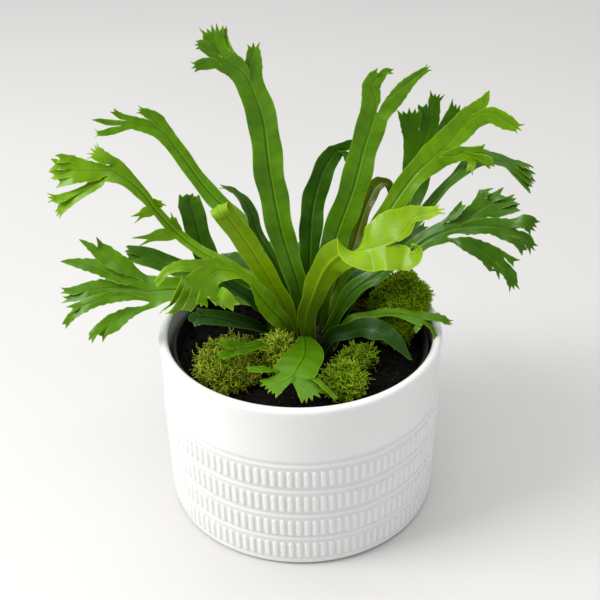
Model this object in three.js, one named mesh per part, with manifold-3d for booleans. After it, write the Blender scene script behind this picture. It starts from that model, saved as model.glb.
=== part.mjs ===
// A crested bird's-nest fern in a nursery pot, standing inside a ribbed ceramic pot.
// Millimetres, +Z up. The origin is the centre of the ceramic pot's flat base.

import * as THREE from "three";
import { mergeVertices } from "three/addons/utils/BufferGeometryUtils.js";
import Module from "manifold-3d";

const wasm = await Module();
wasm.setup();

// ---- driving dimensions ---------------------------------------------------

const GAP = 0.3; // clearance between pieces that rest on each other

const POT_HEIGHT = 112.3;
const POT_BASE_RADIUS = 79.2;
const POT_RIM_RADIUS = 82.5;
const POT_WALL = 5.6;
const POT_FLOOR = 7;
const POT_SIDES = 64; // one raised bar on every second side
const RELIEF = 0.8; // height of the bars and ridges above the wall
const BAND_STARTS = [6, 23, 41, 59]; // foot of each row of bars
const BAR_LENGTH = 11.5;
const RIDGE_RISE = 3; // from the bars' upper ends to the ridge above them

const NURSERY_RIM_RADIUS = 74.5;
const NURSERY_RADIUS = 73.2; // just under the rim
const NURSERY_BASE_RADIUS = 61;
const NURSERY_WALL = 1;
const NURSERY_TOP = 104;
const NURSERY_SIDES = 40;

const SOIL_LEVEL = 94;
const CROWN_CENTRE = [2, 10];
const CROWN_RADIUS = 22;
const CROWN_FOOT = 84;
const CROWN_TOP = 104;

const BLADE_HALF = 0.4; // half thickness of a blade at its edge
const RIB_HALF = 0.9; // half thickness of the midrib at the stalk
const CREST_RIB_HALF = 0.5; // and where the blade first forks
const DEFAULT_REACH = 4; // length of a tooth past the end of its lobe
const DEFAULT_FAN = 0.55; // half angle, in radians, that a lobe's teeth spread over
const SOCKET_DEPTH = 0.6; // how far a socket goes on below the stalk's foot
const SOCKET_LENGTH = 9; // from the stalk's foot out past the crown
const SOCKET_FLARE = 0.25; // widening of its half width per millimetre

// ---- closed solids of rings -------------------------------------------------

// Joins rings of points, from one pole or closed end to the other, into a closed mesh.
// Each ring is a list of points, or a list of one point for a pole.
function ringSolid(rings) {
  const positions = [];
  const starts = rings.map((ring) => {
    const start = positions.length / 3;
    ring.forEach((point) => positions.push(...point));
    return start;
  });
  const index = [];
  for (let level = 0; level + 1 < rings.length; level += 1) {
    const lower = rings[level];
    const upper = rings[level + 1];
    const count = Math.max(lower.length, upper.length);
    for (let side = 0; side < count; side += 1) {
      const next = (side + 1) % count;
      const a = starts[level] + (side % lower.length);
      const b = starts[level] + (next % lower.length);
      const c = starts[level + 1] + (side % upper.length);
      const d = starts[level + 1] + (next % upper.length);
      if (lower.length > 1) index.push(a, b, upper.length > 1 ? d : c);
      if (upper.length > 1) index.push(a, d, c);
    }
  }
  return bufferGeometry(positions, index);
}

function bufferGeometry(positions, index) {
  const geometry = new THREE.BufferGeometry();
  geometry.setAttribute("position", new THREE.Float32BufferAttribute(positions, 3));
  geometry.setIndex(index);
  return geometry;
}

// A ring round (x, y) at one height, whose radius may depend on the side's number.
function ring(sides, radius, z, x = 0, y = 0) {
  return Array.from({ length: sides }, (_, side) => {
    const angle = (2 * Math.PI * side) / sides;
    const r = typeof radius === "function" ? radius(side, angle) : radius;
    const height = typeof z === "function" ? z(side, angle) : z;
    return [x + r * Math.cos(angle), y + r * Math.sin(angle), height];
  });
}

// ---- joins and cuts ---------------------------------------------------------

function solidOf(geometry) {
  const merged = mergeVertices(geometry);
  return new wasm.Manifold(
    new wasm.Mesh({
      numProp: 3,
      vertProperties: merged.getAttribute("position").array,
      triVerts: new Uint32Array(merged.index.array),
    }),
  );
}

function geometryOf(solid) {
  const mesh = solid.getMesh();
  return bufferGeometry(Array.from(mesh.vertProperties), Array.from(mesh.triVerts));
}

// ---- ceramic pot ------------------------------------------------------------

function potRadius(z) {
  return POT_BASE_RADIUS + ((POT_RIM_RADIUS - POT_BASE_RADIUS) * z) / POT_HEIGHT;
}

function potGeometry() {
  const plain = (inset, z) => ring(POT_SIDES, potRadius(z) - inset, z);
  const bars = (z) => ring(POT_SIDES, (side) => potRadius(z) + RELIEF * (side % 2), z);
  const ridge = (z) => ring(POT_SIDES, potRadius(z) + RELIEF, z);
  const bands = BAND_STARTS.flatMap((foot) => [
    bars(foot),
    bars(foot + BAR_LENGTH),
    ridge(foot + BAR_LENGTH + RIDGE_RISE),
  ]);
  const lastRidge = BAND_STARTS.at(-1) + BAR_LENGTH + RIDGE_RISE;
  return ringSolid([
    [[0, 0, 0]],
    plain(3, 0),
    plain(0.4, 2.2),
    ...bands,
    plain(0, lastRidge + 2),
    plain(0, POT_HEIGHT - 3),
    plain(1.2, POT_HEIGHT - 0.6),
    plain(POT_WALL / 2, POT_HEIGHT),
    plain(POT_WALL, POT_HEIGHT - 1.6),
    plain(POT_WALL + 0.6, POT_FLOOR + 4),
    plain(POT_WALL + 4, POT_FLOOR),
    [[0, 0, POT_FLOOR]],
  ]);
}

// ---- nursery pot, soil and crown --------------------------------------------

const nurseryFloor = POT_FLOOR + GAP;

// The nursery pot's outer radius, a plain taper from the base up to the rim.
function nurseryRadius(z) {
  const rise = (z - nurseryFloor) / (NURSERY_TOP - 4 - nurseryFloor);
  return NURSERY_BASE_RADIUS + (NURSERY_RADIUS - NURSERY_BASE_RADIUS) * rise;
}

function nurseryGeometry() {
  const outside = (z) => ring(NURSERY_SIDES, nurseryRadius(z), z);
  const inside = (z) => ring(NURSERY_SIDES, nurseryRadius(z) - NURSERY_WALL, z);
  const rim = (radius, z) => ring(NURSERY_SIDES, radius, z);
  const underRim = NURSERY_TOP - 4;
  return ringSolid([
    [[0, 0, nurseryFloor]],
    outside(nurseryFloor),
    outside(underRim),
    rim(NURSERY_RIM_RADIUS, underRim + 0.6),
    rim(NURSERY_RIM_RADIUS, NURSERY_TOP - 0.6),
    rim(NURSERY_RIM_RADIUS - 1, NURSERY_TOP),
    rim(NURSERY_RADIUS - NURSERY_WALL, NURSERY_TOP - 0.8),
    inside(underRim - 1),
    inside(nurseryFloor + NURSERY_WALL),
    [[0, 0, nurseryFloor + NURSERY_WALL]],
  ]);
}

// Gentle lumps in the soil's surface, in millimetres.
function soilLump(x, y) {
  return 0.3 * Math.sin(x / 7 + 1) * Math.cos(y / 8) + 0.15 * Math.sin(x / 5 - y / 6);
}

function soilGeometry() {
  const foot = nurseryFloor + NURSERY_WALL + GAP;
  const [x, y] = CROWN_CENTRE;
  const skin = (z) => nurseryRadius(z) - NURSERY_WALL - GAP - 0.1;
  const surface = (radius, shift) =>
    ring(NURSERY_SIDES, radius, SOIL_LEVEL, x * shift, y * shift).map(([px, py, pz]) => [
      px,
      py,
      pz + soilLump(px, py),
    ]);
  return ringSolid([
    [[0, 0, foot]],
    ring(NURSERY_SIDES, skin(foot) - 0.5, foot),
    ring(NURSERY_SIDES, skin(SOIL_LEVEL - 2), SOIL_LEVEL - 2),
    surface(skin(SOIL_LEVEL) - 2, 0),
    surface(55, 0.3),
    surface(38, 0.7),
    surface(CROWN_RADIUS + 1.5, 1),
    ring(NURSERY_SIDES, CROWN_RADIUS + GAP + 0.2, SOIL_LEVEL - 2, x, y),
    ring(NURSERY_SIDES, CROWN_RADIUS + GAP + 0.2, CROWN_FOOT - GAP, x, y),
    [[x, y, CROWN_FOOT - GAP]],
  ]);
}

function crownGeometry(fronds) {
  const sides = 20;
  const [x, y] = CROWN_CENTRE;
  const level = (share, z) => ring(sides, CROWN_RADIUS * share, z, x, y);
  const dome = ringSolid([
    [[x, y, CROWN_FOOT]],
    level(0.8, CROWN_FOOT),
    level(1, CROWN_FOOT + 6),
    level(0.96, CROWN_TOP - 6.5),
    level(0.74, CROWN_TOP - 2),
    level(0.4, CROWN_TOP),
    [[x, y, CROWN_TOP]],
  ]);
  const sockets = fronds.map(socketSolid);
  const cut = sockets.reduce((body, socket) => body.subtract(socket), solidOf(dome));
  const [largest] = cut.decompose().sort((a, b) => b.volume() - a.volume());
  return geometryOf(largest);
}

// ---- moss -------------------------------------------------------------------

// Each clump: centre and half size of its foot, height, how far it bulges past its foot,
// and how far its top leans over.
const MOSS = {
  moss_left: { at: [-42, -24], size: [18, 22], height: 15, bulge: 1.02, lean: [1, 3] },
  moss_centre: { at: [-15, -23], size: [5, 7], height: 12, bulge: 1.05, lean: [0, 1] },
  moss_front_right: { at: [24, -39], size: [9, 13], height: 10, bulge: 1.1, lean: [0, 2] },
  moss_right_small: { at: [33, -14], size: [7.5, 6], height: 9, bulge: 1.1, lean: [0, 1] },
  moss_mound: { at: [52, 14], size: [14, 14], height: 36, bulge: 1.4, lean: [10, 5] },
  moss_back_small: { at: [41, 38], size: [9, 8], height: 8, bulge: 1.1, lean: [0, 0] },
};

function mossGeometry({ at: [x, y], size: [width, depth], height, bulge, lean }) {
  const sides = 14;
  const foot = SOIL_LEVEL + 1.2;
  const seat = (px, py) => [px, py, SOIL_LEVEL + soilLump(px, py) + 0.5];
  const lumpy = (share, rise, phase) =>
    ring(sides, 1, 0).map(([cos, sin], side) => {
      const lump = 1 + 0.1 * Math.sin(side * 2.4 + phase);
      const px = x + lean[0] * rise + width * share * lump * cos;
      const py = y + lean[1] * rise + depth * share * lump * sin;
      return [px, py, foot + height * rise * (1 + 0.06 * Math.cos(side * 1.9 + phase))];
    });
  return ringSolid([
    [seat(x, y)],
    ring(sides, 1, 0).map(([cos, sin]) => seat(x + width * 0.8 * cos, y + depth * 0.8 * sin)),
    lumpy(0.95, 0.3, 0),
    lumpy(bulge, 0.6, 2),
    lumpy(bulge * 0.76, 0.86, 4),
    lumpy(bulge * 0.4, 0.97, 1),
    [[x + lean[0], y + lean[1], foot + height]],
  ]);
}

// ---- fronds -----------------------------------------------------------------

// A frond is one sheet: a strap that climbs from its stalk, forks into lobes, which may
// fork again, and ends in teeth.
//   at      stations up the strap: x, y, z of the midrib, then half the strap's width
//   across  direction from the left edge to the right one, at the stalk and at the fork
//   lobes   what it forks into, from left to right as its glossy face is seen tip up
//   teeth   how many points a lobe ends in; reach is their length, fan their spread
//   spurs   small side lobes: station, side (-1 left, 1 right) and tip
//   fold    how far the edges stand above the midrib, as a share of half the width
//   wave    height of the edges' ripple, in millimetres
const FRONDS = [
  {
    name: "frond_tall_left",
    leaf: "old",
    fold: 0.28,
    across: [[1, 0, 0], [1, 0, 0.1]],
    at: [
      [-3, 6, 100, 2.6], [2, 9, 112, 3.8], [-1, 12, 132, 5.6], [-10, 17, 165, 7.5],
      [-16, 23, 200, 8.4], [-20, 28, 229, 8], [-25, 30, 249, 8],
    ],
    lobes: [
      { at: [[-32, 30, 257, 6.4], [-38, 29, 264, 7.4]], lobes: [
        { at: [[-47, 27, 263, 2.6], [-54, 25, 261, 1.6]], teeth: 3 },
        { at: [[-48, 29, 270, 2.8], [-52, 28, 273, 2]], teeth: 3 },
        { at: [[-45, 31, 275, 3.4], [-47, 31, 281, 2.4]], teeth: 3 },
        { at: [[-40, 32, 273, 3], [-38, 32, 280, 1.6]], teeth: 2 },
      ] },
      { at: [[-23, 31, 260, 3.8], [-23, 31, 269, 2.6]], teeth: 2 },
    ],
  },
  {
    name: "frond_tall_right",
    leaf: "mid",
    fold: 0.2,
    across: [[1, 0, 0], [1, -0.1, -0.1]],
    at: [
      [8, 10, 101, 2.6], [11, 14, 107, 3.6], [14, 18, 127, 5.6], [20, 24, 154, 7.8],
      [31, 30, 185, 8.2], [37, 36, 207, 8], [43, 40, 226, 8.2],
    ],
    lobes: [
      { at: [[41, 42, 235, 5], [42, 43, 240, 5.6]], lobes: [
        { at: [[39, 43, 245, 2.2]], teeth: 2, reach: 2 },
        { at: [[43, 44, 246, 2.6]], teeth: 2, reach: 5 },
        { at: [[49, 45, 247, 2.2]], teeth: 3, reach: 5 },
      ] },
      { at: [[52, 41, 232, 4.6], [59, 40, 242, 4.2], [65, 39, 249, 2.8], [70, 38, 254, 1.8]], teeth: 3, reach: 4 },
    ],
  },
  {
    name: "frond_back_arch",
    leaf: "dark",
    fold: 0.2,
    across: [[1, 0, 0], [0.8, 0.1, -0.5]],
    at: [
      [3, 19, 99, 2.6], [5, 28, 113, 4], [6, 38, 140, 6.2], [8, 48, 164, 7.2],
      [14, 57, 183, 6.6], [22, 62, 195, 5.4],
    ],
    lobes: [
      { at: [[31, 63, 198, 3], [38, 62, 199, 2.2]], teeth: 2, reach: 4 },
      { at: [[30, 58, 192, 3], [35, 56, 193, 2.2]], teeth: 2, reach: 4 },
    ],
  },
  {
    name: "frond_back_fan",
    leaf: "dark",
    fold: 0.1,
    across: [[0.9, -0.4, 0], [1, 0, 0]],
    at: [
      [12, 21, 98, 2.6], [28, 34, 116, 4.2], [49, 54, 133, 6], [66, 72, 150, 7.6],
      [73, 84, 168, 8.8], [76, 90, 183, 12],
    ],
    lobes: [
      { at: [[67, 93, 196, 3], [64, 94, 202, 2.4]], teeth: 2, reach: 4 },
      { at: [[70, 94, 200, 3], [69, 95, 206, 2.6]], teeth: 3, reach: 5 },
      { at: [[76, 94, 200, 2.8], [76, 95, 204, 2.4]], teeth: 2, reach: 6 },
      { at: [[83, 94, 201, 2.8], [82, 95, 207, 2.4]], teeth: 3, reach: 8 },
      { at: [[88, 92, 200, 3], [90, 92, 206, 2.8]], teeth: 2, reach: 4 },
      { at: [[94, 90, 201, 4], [99, 89, 208, 4]], teeth: 4, reach: 5 },
    ],
  },
  {
    name: "frond_right_light",
    leaf: "young",
    fold: 0.16,
    across: [[0.8, -0.5, 0], [0.6, -0.3, -0.7]],
    at: [
      [14, 12, 99, 2.6], [25, 20, 120, 4], [38, 25, 146, 5.2], [53, 31, 172, 6],
      [66, 36, 190, 6.6], [77, 40, 200, 8.4],
    ],
    lobes: [
      { at: [[88, 43, 212, 7.2], [98, 46, 221, 7]], lobes: [
        { at: [[104, 48, 229, 3.4], [107, 49, 234, 1.6]], teeth: 1, reach: 4 },
        { at: [[109, 45, 223, 4.8], [118, 43, 220, 4.4], [124, 41, 217, 2.4]], teeth: 3, reach: 5 },
      ] },
      { at: [[85, 36, 201, 4], [92, 33, 207, 3.6]], lobes: [
        { at: [[99, 31, 208, 2.6]], teeth: 2, reach: 6 },
        { at: [[102, 29, 205, 3], [107, 27, 203, 2]], teeth: 2, reach: 5 },
        { at: [[97, 29, 202, 2.4]], teeth: 2, reach: 6 },
      ] },
    ],
  },
  {
    name: "frond_right_arch",
    leaf: "dark",
    wave: 0.3,
    fold: 0.16,
    across: [[0.7, -0.7, 0], [0.1, -1, -0.2]],
    at: [
      [17, 14, 97, 2.6], [31, 24, 117, 4.2], [50, 29, 140, 5.4], [66, 33, 160, 6],
      [78, 35, 174, 4.2], [88, 36, 187, 4.2], [100, 36, 197, 6.2], [114, 34, 200, 7.4],
      [123, 31, 197, 8.2],
    ],
    lobes: [
      { at: [[129, 30, 199, 2.6]], teeth: 2, reach: 5 },
      { at: [[130, 28, 196, 2.8]], teeth: 2, reach: 5 },
      { at: [[130, 25, 193, 2.8]], teeth: 2, reach: 5 },
      { at: [[128, 22, 190, 2.2]], teeth: 2, reach: 7 },
    ],
  },
  {
    name: "frond_right_big",
    leaf: "mid",
    fold: 0.14,
    across: [[0.5, -0.8, 0], [0.2, -0.7, -0.7]],
    at: [
      [15, 6, 98, 2.6], [28, 5, 129, 4], [48, 2, 148, 5], [61, 0, 160, 5.6], [72, 0, 169, 6.4],
      [80, -1, 176, 8.4],
    ],
    lobes: [
      { at: [[86, 2, 184, 3], [90, 3, 189, 2]], teeth: 2, reach: 3 },
      { at: [[91, 2, 179, 5], [100, 4, 185, 7], [106, 5, 188, 9]], lobes: [
        { at: [[106, 7, 193, 2.6]], teeth: 2, reach: 3.5 },
        { at: [[112, 6, 192, 2.6]], teeth: 2, reach: 4 },
        { at: [[118, 5, 190, 2.6]], teeth: 2, reach: 5 },
        { at: [[118, 3, 186, 2.6]], teeth: 2, reach: 5 },
      ] },
      { at: [[94, -3, 176, 4.6], [108, -5, 179, 5.4], [117, -6, 177, 6.6]], lobes: [
        { at: [[124, -6, 181, 3.4], [129, -6, 179, 2.8]], teeth: 3, reach: 5 },
        { at: [[125, -8, 175, 2.6], [128, -9, 172, 1.8]], teeth: 2, reach: 4 },
        { at: [[120, -10, 172, 3], [123, -11, 168, 2.4]], teeth: 3, reach: 5 },
      ] },
      { at: [[90, -10, 173, 4.6], [101, -14, 172, 6.6], [108, -17, 168, 8]], lobes: [
        { at: [[117, -18, 164, 2.6]], teeth: 2, reach: 6 },
        { at: [[114, -20, 159, 3.6], [116, -22, 152, 2.2]], teeth: 3, reach: 5 },
        { at: [[109, -20, 160, 2.6]], teeth: 2, reach: 5 },
        { at: [[105, -20, 161, 2]], teeth: 2, reach: 3 },
      ] },
    ],
  },
  {
    name: "frond_front_bright",
    leaf: "new",
    fold: 0.1,
    across: [[1, -0.1, 0], [0.2, -0.6, -0.8]],
    at: [
      [5, 1, 99, 2.6], [5, 0, 118, 4.2], [9, -4, 140, 7.2], [15, -9, 159, 9.6],
      [22, -16, 172, 9.8], [30, -24, 178, 10.8], [39, -31, 184, 13],
    ],
    lobes: [
      { at: [[47, -31, 192, 8.4], [56, -30, 198, 5.8], [64, -29, 200, 3.6], [71, -28, 202, 2.4]], teeth: 3, reach: 6 },
      { at: [[47, -38, 179, 7.2], [53, -42, 177, 4.8], [59, -43, 179, 3.2], [62, -42, 183, 2]], teeth: 3, reach: 3 },
    ],
  },
  {
    name: "frond_back_left_long",
    leaf: "mid",
    fold: 0.16,
    across: [[0.6, 0.8, 0], [0.7, 0.2, 0.6]],
    at: [
      [-8, 24, 98, 2.6], [-10, 35, 117, 3.8], [-22, 46, 137, 5], [-37, 60, 150, 5.8],
      [-55, 72, 164, 5.2], [-71, 82, 184, 4.8], [-80, 86, 196, 5.6],
    ],
    lobes: [
      { at: [[-88, 87, 201, 3.4], [-99, 88, 203, 3.6]], lobes: [
        { at: [[-112, 88, 198, 2], [-117, 87, 197, 1.4]], teeth: 3, reach: 4 },
        { at: [[-113, 89, 203, 1.8], [-120, 88, 205, 1.2]], teeth: 1, reach: 4 },
        { at: [[-107, 89, 208, 1.8]], teeth: 2, reach: 5 },
      ] },
      { at: [[-83, 88, 204, 3.2], [-88, 88, 209, 2.8]], teeth: 3, reach: 7 },
    ],
  },
  {
    name: "frond_left_arch",
    leaf: "young",
    fold: 0.2,
    across: [[0.3, 0.8, 0], [0.2, 0.6, 0.7]],
    at: [
      [-13, 12, 98, 2.6], [-15, 16, 125, 4], [-37, 20, 140, 5], [-58, 24, 152, 4.8],
      [-73, 27, 165, 4.8], [-85, 29, 179, 5.4], [-95, 30, 191, 6.6], [-104, 30, 198, 8.6],
    ],
    spurs: [[4, -1, -94, 20, 160], [5, -1, -94, 22, 172], [3, 1, -69, 20, 177], [4, 1, -74, 22, 180]],
    lobes: [
      { at: [[-116, 26, 190, 4.2], [-124, 24, 188, 4]], lobes: [
        { at: [[-132, 21, 180, 2.4], [-135, 20, 179, 1.8]], teeth: 2, reach: 3 },
        { at: [[-134, 22, 186, 2.4], [-138, 21, 186, 1.8]], teeth: 3, reach: 4 },
      ] },
      { at: [[-115, 28, 200, 6.2], [-127, 27, 201, 7.4]], lobes: [
        { at: [[-134, 25, 195, 2.6]], teeth: 2, reach: 5 },
        { at: [[-135, 26, 201, 2.6]], teeth: 2, reach: 4 },
        { at: [[-133, 28, 205, 2.6]], teeth: 2, reach: 5 },
      ] },
      { at: [[-108, 31, 207, 3.4], [-114, 32, 209, 3.2]], teeth: 4, reach: 7 },
    ],
  },
  {
    name: "frond_young_coil",
    leaf: "new",
    fold: 0.12,
    across: [[0.8, 0, 0.4], [0.8, 0, 0.5]],
    at: [
      [-5, 1, 99, 2.6], [-8, 2, 121, 4.2], [-16, 0, 141, 5.6], [-24, -2, 159, 6.4],
      [-32, -4, 175, 6.6], [-39, -7, 188, 6.2], [-43, -12, 196, 5.4], [-41, -17, 197, 4.6],
    ],
    lobes: [
      { at: [[-39, -17, 194, 2.2]], teeth: 2, reach: 2 },
      { at: [[-37, -16, 196, 2.2]], teeth: 2, reach: 2 },
    ],
  },
  {
    name: "frond_cut_top",
    leaf: "dark",
    fold: 0.3,
    across: [[0.8, 0.6, 0], [1, 0.1, 0.1]],
    at: [
      [-13, 17, 98, 2.6], [-17, 24, 115, 4], [-32, 28, 122, 5.2], [-48, 33, 129, 6.2],
      [-57, 38, 142, 7], [-61, 42, 158, 7], [-64, 45, 170, 7.2],
    ],
    lobes: [
      { at: [[-68, 46, 174, 2.2]], teeth: 2, reach: 2 },
      { at: [[-64, 46, 175, 2.4]], teeth: 2, reach: 2 },
      { at: [[-60, 46, 174, 2.2]], teeth: 2, reach: 2 },
    ],
  },
  {
    name: "frond_left_fan",
    leaf: "mid",
    fold: 0.14,
    across: [[0, 0.8, 0.3], [0, 0.7, 0.7]],
    at: [
      [-16, 7, 98, 2.6], [-19, 2, 125, 4], [-38, -2, 135, 5.2], [-56, -5, 141, 6.2],
      [-73, -8, 143, 7.6], [-85, -10, 143, 9.4],
    ],
    lobes: [
      { at: [[-96, -18, 136, 4.8], [-106, -22, 132, 5.4]], lobes: [
        { at: [[-110, -24, 128, 2.4]], teeth: 2, reach: 5 },
        { at: [[-114, -25, 126, 2.4]], teeth: 2, reach: 7 },
      ] },
      { at: [[-102, -16, 140, 4.4], [-114, -19, 138, 4.6], [-121, -20, 139, 4.4]], lobes: [
        { at: [[-127, -22, 133, 2.2]], teeth: 2, reach: 6 },
        { at: [[-126, -21, 139, 2.2]], teeth: 2, reach: 4 },
      ] },
      { at: [[-104, -12, 147, 4.6], [-118, -14, 147, 4.8]], lobes: [
        { at: [[-126, -15, 143, 2.2]], teeth: 2, reach: 5 },
        { at: [[-126, -14, 147, 2.2]], teeth: 2, reach: 7 },
      ] },
      { at: [[-99, -8, 152, 4.6], [-111, -8, 159, 4.4], [-121, -8, 162, 3]], teeth: 2, reach: 10 },
      { at: [[-98, -5, 157, 4.8], [-107, -3, 162, 5.6]], lobes: [
        { at: [[-115, -2, 166, 2.4], [-119, -1, 169, 1.6]], teeth: 2, reach: 4 },
        { at: [[-109, -1, 167, 2.2]], teeth: 3, reach: 5 },
      ] },
    ],
  },
  {
    name: "frond_narrow_loop",
    leaf: "dark",
    fold: 0.2,
    across: [[0.8, 0.5, 0], [0.6, 0.2, -0.7]],
    at: [
      [-7, 12, 99, 2.4], [-9, 24, 125, 3.2], [-18, 30, 144, 3.4], [-25, 34, 156, 3.4],
      [-27, 37, 167, 4], [-31, 39, 175, 4.2], [-37, 40, 180, 3.4],
    ],
    lobes: [
      { at: [[-42, 41, 182, 2]], teeth: 2, reach: 4 },
    ],
  },
  {
    name: "frond_left_dark",
    leaf: "dark",
    fold: 0.4,
    across: [[0.3, 0.8, 0], [0, 0.8, 0.5]],
    at: [
      [-17, 12, 98, 2.4], [-22, 12, 124, 3.8], [-41, 16, 132, 5], [-61, 19, 137, 6],
      [-78, 21, 142, 6.6], [-91, 22, 147, 6.4],
    ],
    lobes: [
      { at: [[-99, 21, 148, 2.8]], teeth: 2, reach: 3 },
      { at: [[-99, 23, 152, 2.8]], teeth: 2, reach: 4 },
    ],
  },
  {
    name: "frond_front_left",
    leaf: "new",
    fold: 0.16,
    across: [[0.6, 0.7, 0], [0.5, 0.8, 0.3]],
    at: [
      [-9, -2, 98, 2.6], [-8, -7, 126, 4.2], [-17, -14, 147, 6.2], [-24, -22, 160, 7.6],
      [-31, -29, 167, 8.2], [-39, -35, 171, 9.6],
    ],
    lobes: [
      { at: [[-44, -42, 172, 9], [-48, -48, 167, 13]], lobes: [
        { at: [[-37, -52, 162, 3], [-35, -53, 158, 1.8]], teeth: 2, reach: 3 },
        { at: [[-44, -54, 164, 3]], teeth: 2, reach: 3.5 },
        { at: [[-49, -56, 163, 3]], teeth: 3, reach: 3.5 },
        { at: [[-55, -57, 163, 3]], teeth: 3, reach: 3.5 },
        { at: [[-61, -57, 164, 3], [-64, -58, 161, 2.2]], teeth: 2, reach: 4 },
        { at: [[-66, -56, 166, 3], [-72, -58, 161, 2]], teeth: 3, reach: 4 },
      ] },
      { at: [[-50, -43, 181, 3.4], [-60, -48, 182, 3.4], [-70, -51, 179, 2.6], [-75, -52, 175, 1.8]], teeth: 2, reach: 2 },
    ],
  },
  {
    name: "frond_front_low",
    leaf: "young",
    fold: 0.14,
    across: [[-1, 0, 0], [-1, 0, 0]],
    at: [
      [2, -6, 96, 2.8], [1, -14, 112, 5.4], [2, -26, 116, 9.6], [2, -38, 117, 12.4],
      [1, -48, 117, 12.8],
    ],
    lobes: [
      { at: [[10, -58, 116, 3], [15, -63, 113, 2.2], [19, -66, 110, 1.6]], teeth: 3, reach: 3.5 },
      { at: [[-2, -56, 117, 10]], lobes: [
        { at: [[5, -62, 114, 4.6], [6, -66, 112, 4]], teeth: 3, reach: 4.5 },
        { at: [[-1, -62, 113, 1.8], [-2, -64, 110, 1.6]], teeth: 2, reach: 3 },
        { at: [[-11, -62, 115, 4.6], [-16, -64, 113, 4.4]], teeth: 4, reach: 4 },
      ] },
      { at: [[-17, -54, 120, 2.8], [-24, -56, 121, 2.4], [-28, -57, 120, 1.6]], teeth: 2, reach: 2 },
    ],
  },
  {
    name: "frond_low_left_spoon",
    leaf: "dark",
    fold: 0.2,
    across: [[-0.5, 0.8, 0], [-0.5, 0.8, 0.2]],
    at: [
      [-8, -6, 96, 2.4], [-12, -15, 112, 4], [-22, -22, 114, 5.6], [-32, -28, 116, 7.2],
      [-39, -32, 116, 7.4],
    ],
    lobes: [
      { at: [[-44, -35, 116, 2.4]], teeth: 2, reach: 3 },
      { at: [[-44, -34, 119, 2.4]], teeth: 2, reach: 3 },
    ],
  },
  {
    name: "frond_low_left_fold",
    leaf: "dark",
    fold: 0.4,
    across: [[-0.2, 0.9, 0], [-0.1, 0.9, 0.3]],
    at: [
      [-15, 2, 95.5, 2.4], [-22, -7, 113, 4], [-34, -12, 121, 5.4], [-46, -16, 125, 5.8],
      [-53, -18, 128, 5],
    ],
    lobes: [
      { at: [[-57, -20, 128, 2.2]], teeth: 2, reach: 3 },
      { at: [[-57, -18, 131, 2.2]], teeth: 2, reach: 3 },
    ],
  },
  {
    name: "frond_low_left_dark",
    leaf: "dark",
    fold: 0.3,
    across: [[-0.1, 0.9, 0.2], [0, 0.8, 0.5]],
    at: [
      [-12, -2, 98.5, 2.4], [-17, -4, 122, 4], [-28, -9, 136, 5.2], [-38, -12, 146, 5.4],
      [-46, -15, 154, 4.8],
    ],
    lobes: [
      { at: [[-50, -17, 156, 2]], teeth: 2, reach: 4 },
      { at: [[-51, -15, 158, 2]], teeth: 2, reach: 4 },
    ],
  },
  {
    name: "frond_right_dark",
    leaf: "dark",
    fold: 0.2,
    across: [[0.6, -0.7, 0], [0.3, -0.7, -0.6]],
    at: [
      [20, 8.5, 97, 2.4], [30, 12, 128, 4.2], [45, 13, 146, 5.4], [58, 13, 156, 5.8],
    ],
    lobes: [
      { at: [[67, 15, 165, 3], [71, 16, 168, 1.8]], teeth: 2, reach: 4 },
      { at: [[64, 12, 158, 3.2]], teeth: 2, reach: 4 },
    ],
  },
  {
    name: "frond_low_right",
    leaf: "mid",
    fold: 0.2,
    across: [[0.2, -0.9, 0], [0.1, -0.9, -0.3]],
    at: [
      [19, 1, 96, 2.4], [26, -2, 117, 4], [41, -3, 122, 5], [56, -6, 123, 6], [68, -8, 122, 6.6],
    ],
    lobes: [
      { at: [[78, -7, 122, 3.2], [83, -8, 119, 1.8]], teeth: 2, reach: 3 },
      { at: [[75, -12, 121, 2.2], [78, -14, 117, 1.3]], teeth: 2, reach: 3 },
      { at: [[68, -14, 121, 2.4]], teeth: 2, reach: 3 },
    ],
  },
  {
    name: "frond_low_right_front",
    leaf: "dark",
    fold: 0.2,
    across: [[0.4, -0.8, 0], [0.5, -0.7, -0.3]],
    at: [
      [13, -6, 96, 2.4], [17, -13, 112, 4.4], [27, -19, 119, 6.4], [37, -25, 123, 7],
      [46, -31, 123, 6.2],
    ],
    lobes: [
      { at: [[53, -35, 122, 3.2], [56, -38, 119, 1.8]], teeth: 2, reach: 3 },
    ],
  },
  {
    name: "frond_curled_back",
    leaf: "brown",
    fold: 0.3,
    across: [[0.9, -0.3, 0], [0.7, -0.6, -0.4]],
    at: [
      [11, 18, 98.5, 2.4], [22, 26, 121, 3.4], [31, 36, 142, 4.4], [38, 44, 163, 4.8],
      [44, 48, 176, 4.4], [49, 48, 181, 3.8],
    ],
    lobes: [
      { at: [[53, 46, 180, 2.6], [54, 45, 176, 1.8]], teeth: 2, reach: 3 },
    ],
  },
  {
    name: "frond_rear_a",
    leaf: "mid",
    fold: 0.18,
    across: [[0.9, -0.3, 0], [0.9, -0.3, 0]],
    at: [
      [8.2, 26.9, 96, 2.6], [12.3, 38.2, 107, 4.6], [19.1, 57, 115, 6.6], [25.9, 75.8, 119, 7.6],
      [31.4, 90.8, 116, 8.2],
    ],
    lobes: [
      { at: [[29.5, 103.2, 109, 3.2], [27.2, 111.5, 98, 2.4]], teeth: 3, reach: 4 },
      { at: [[36.5, 104.9, 107, 4], [39.6, 113.4, 94, 3.2]], teeth: 3, reach: 5 },
      { at: [[40.8, 99.1, 109, 3.2], [47.9, 104, 98, 2.4]], teeth: 3, reach: 4 },
    ],
  },
  {
    name: "frond_rear_b",
    leaf: "dark",
    fold: 0.18,
    across: [[1, -0, 0], [1, -0, 0]],
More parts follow.
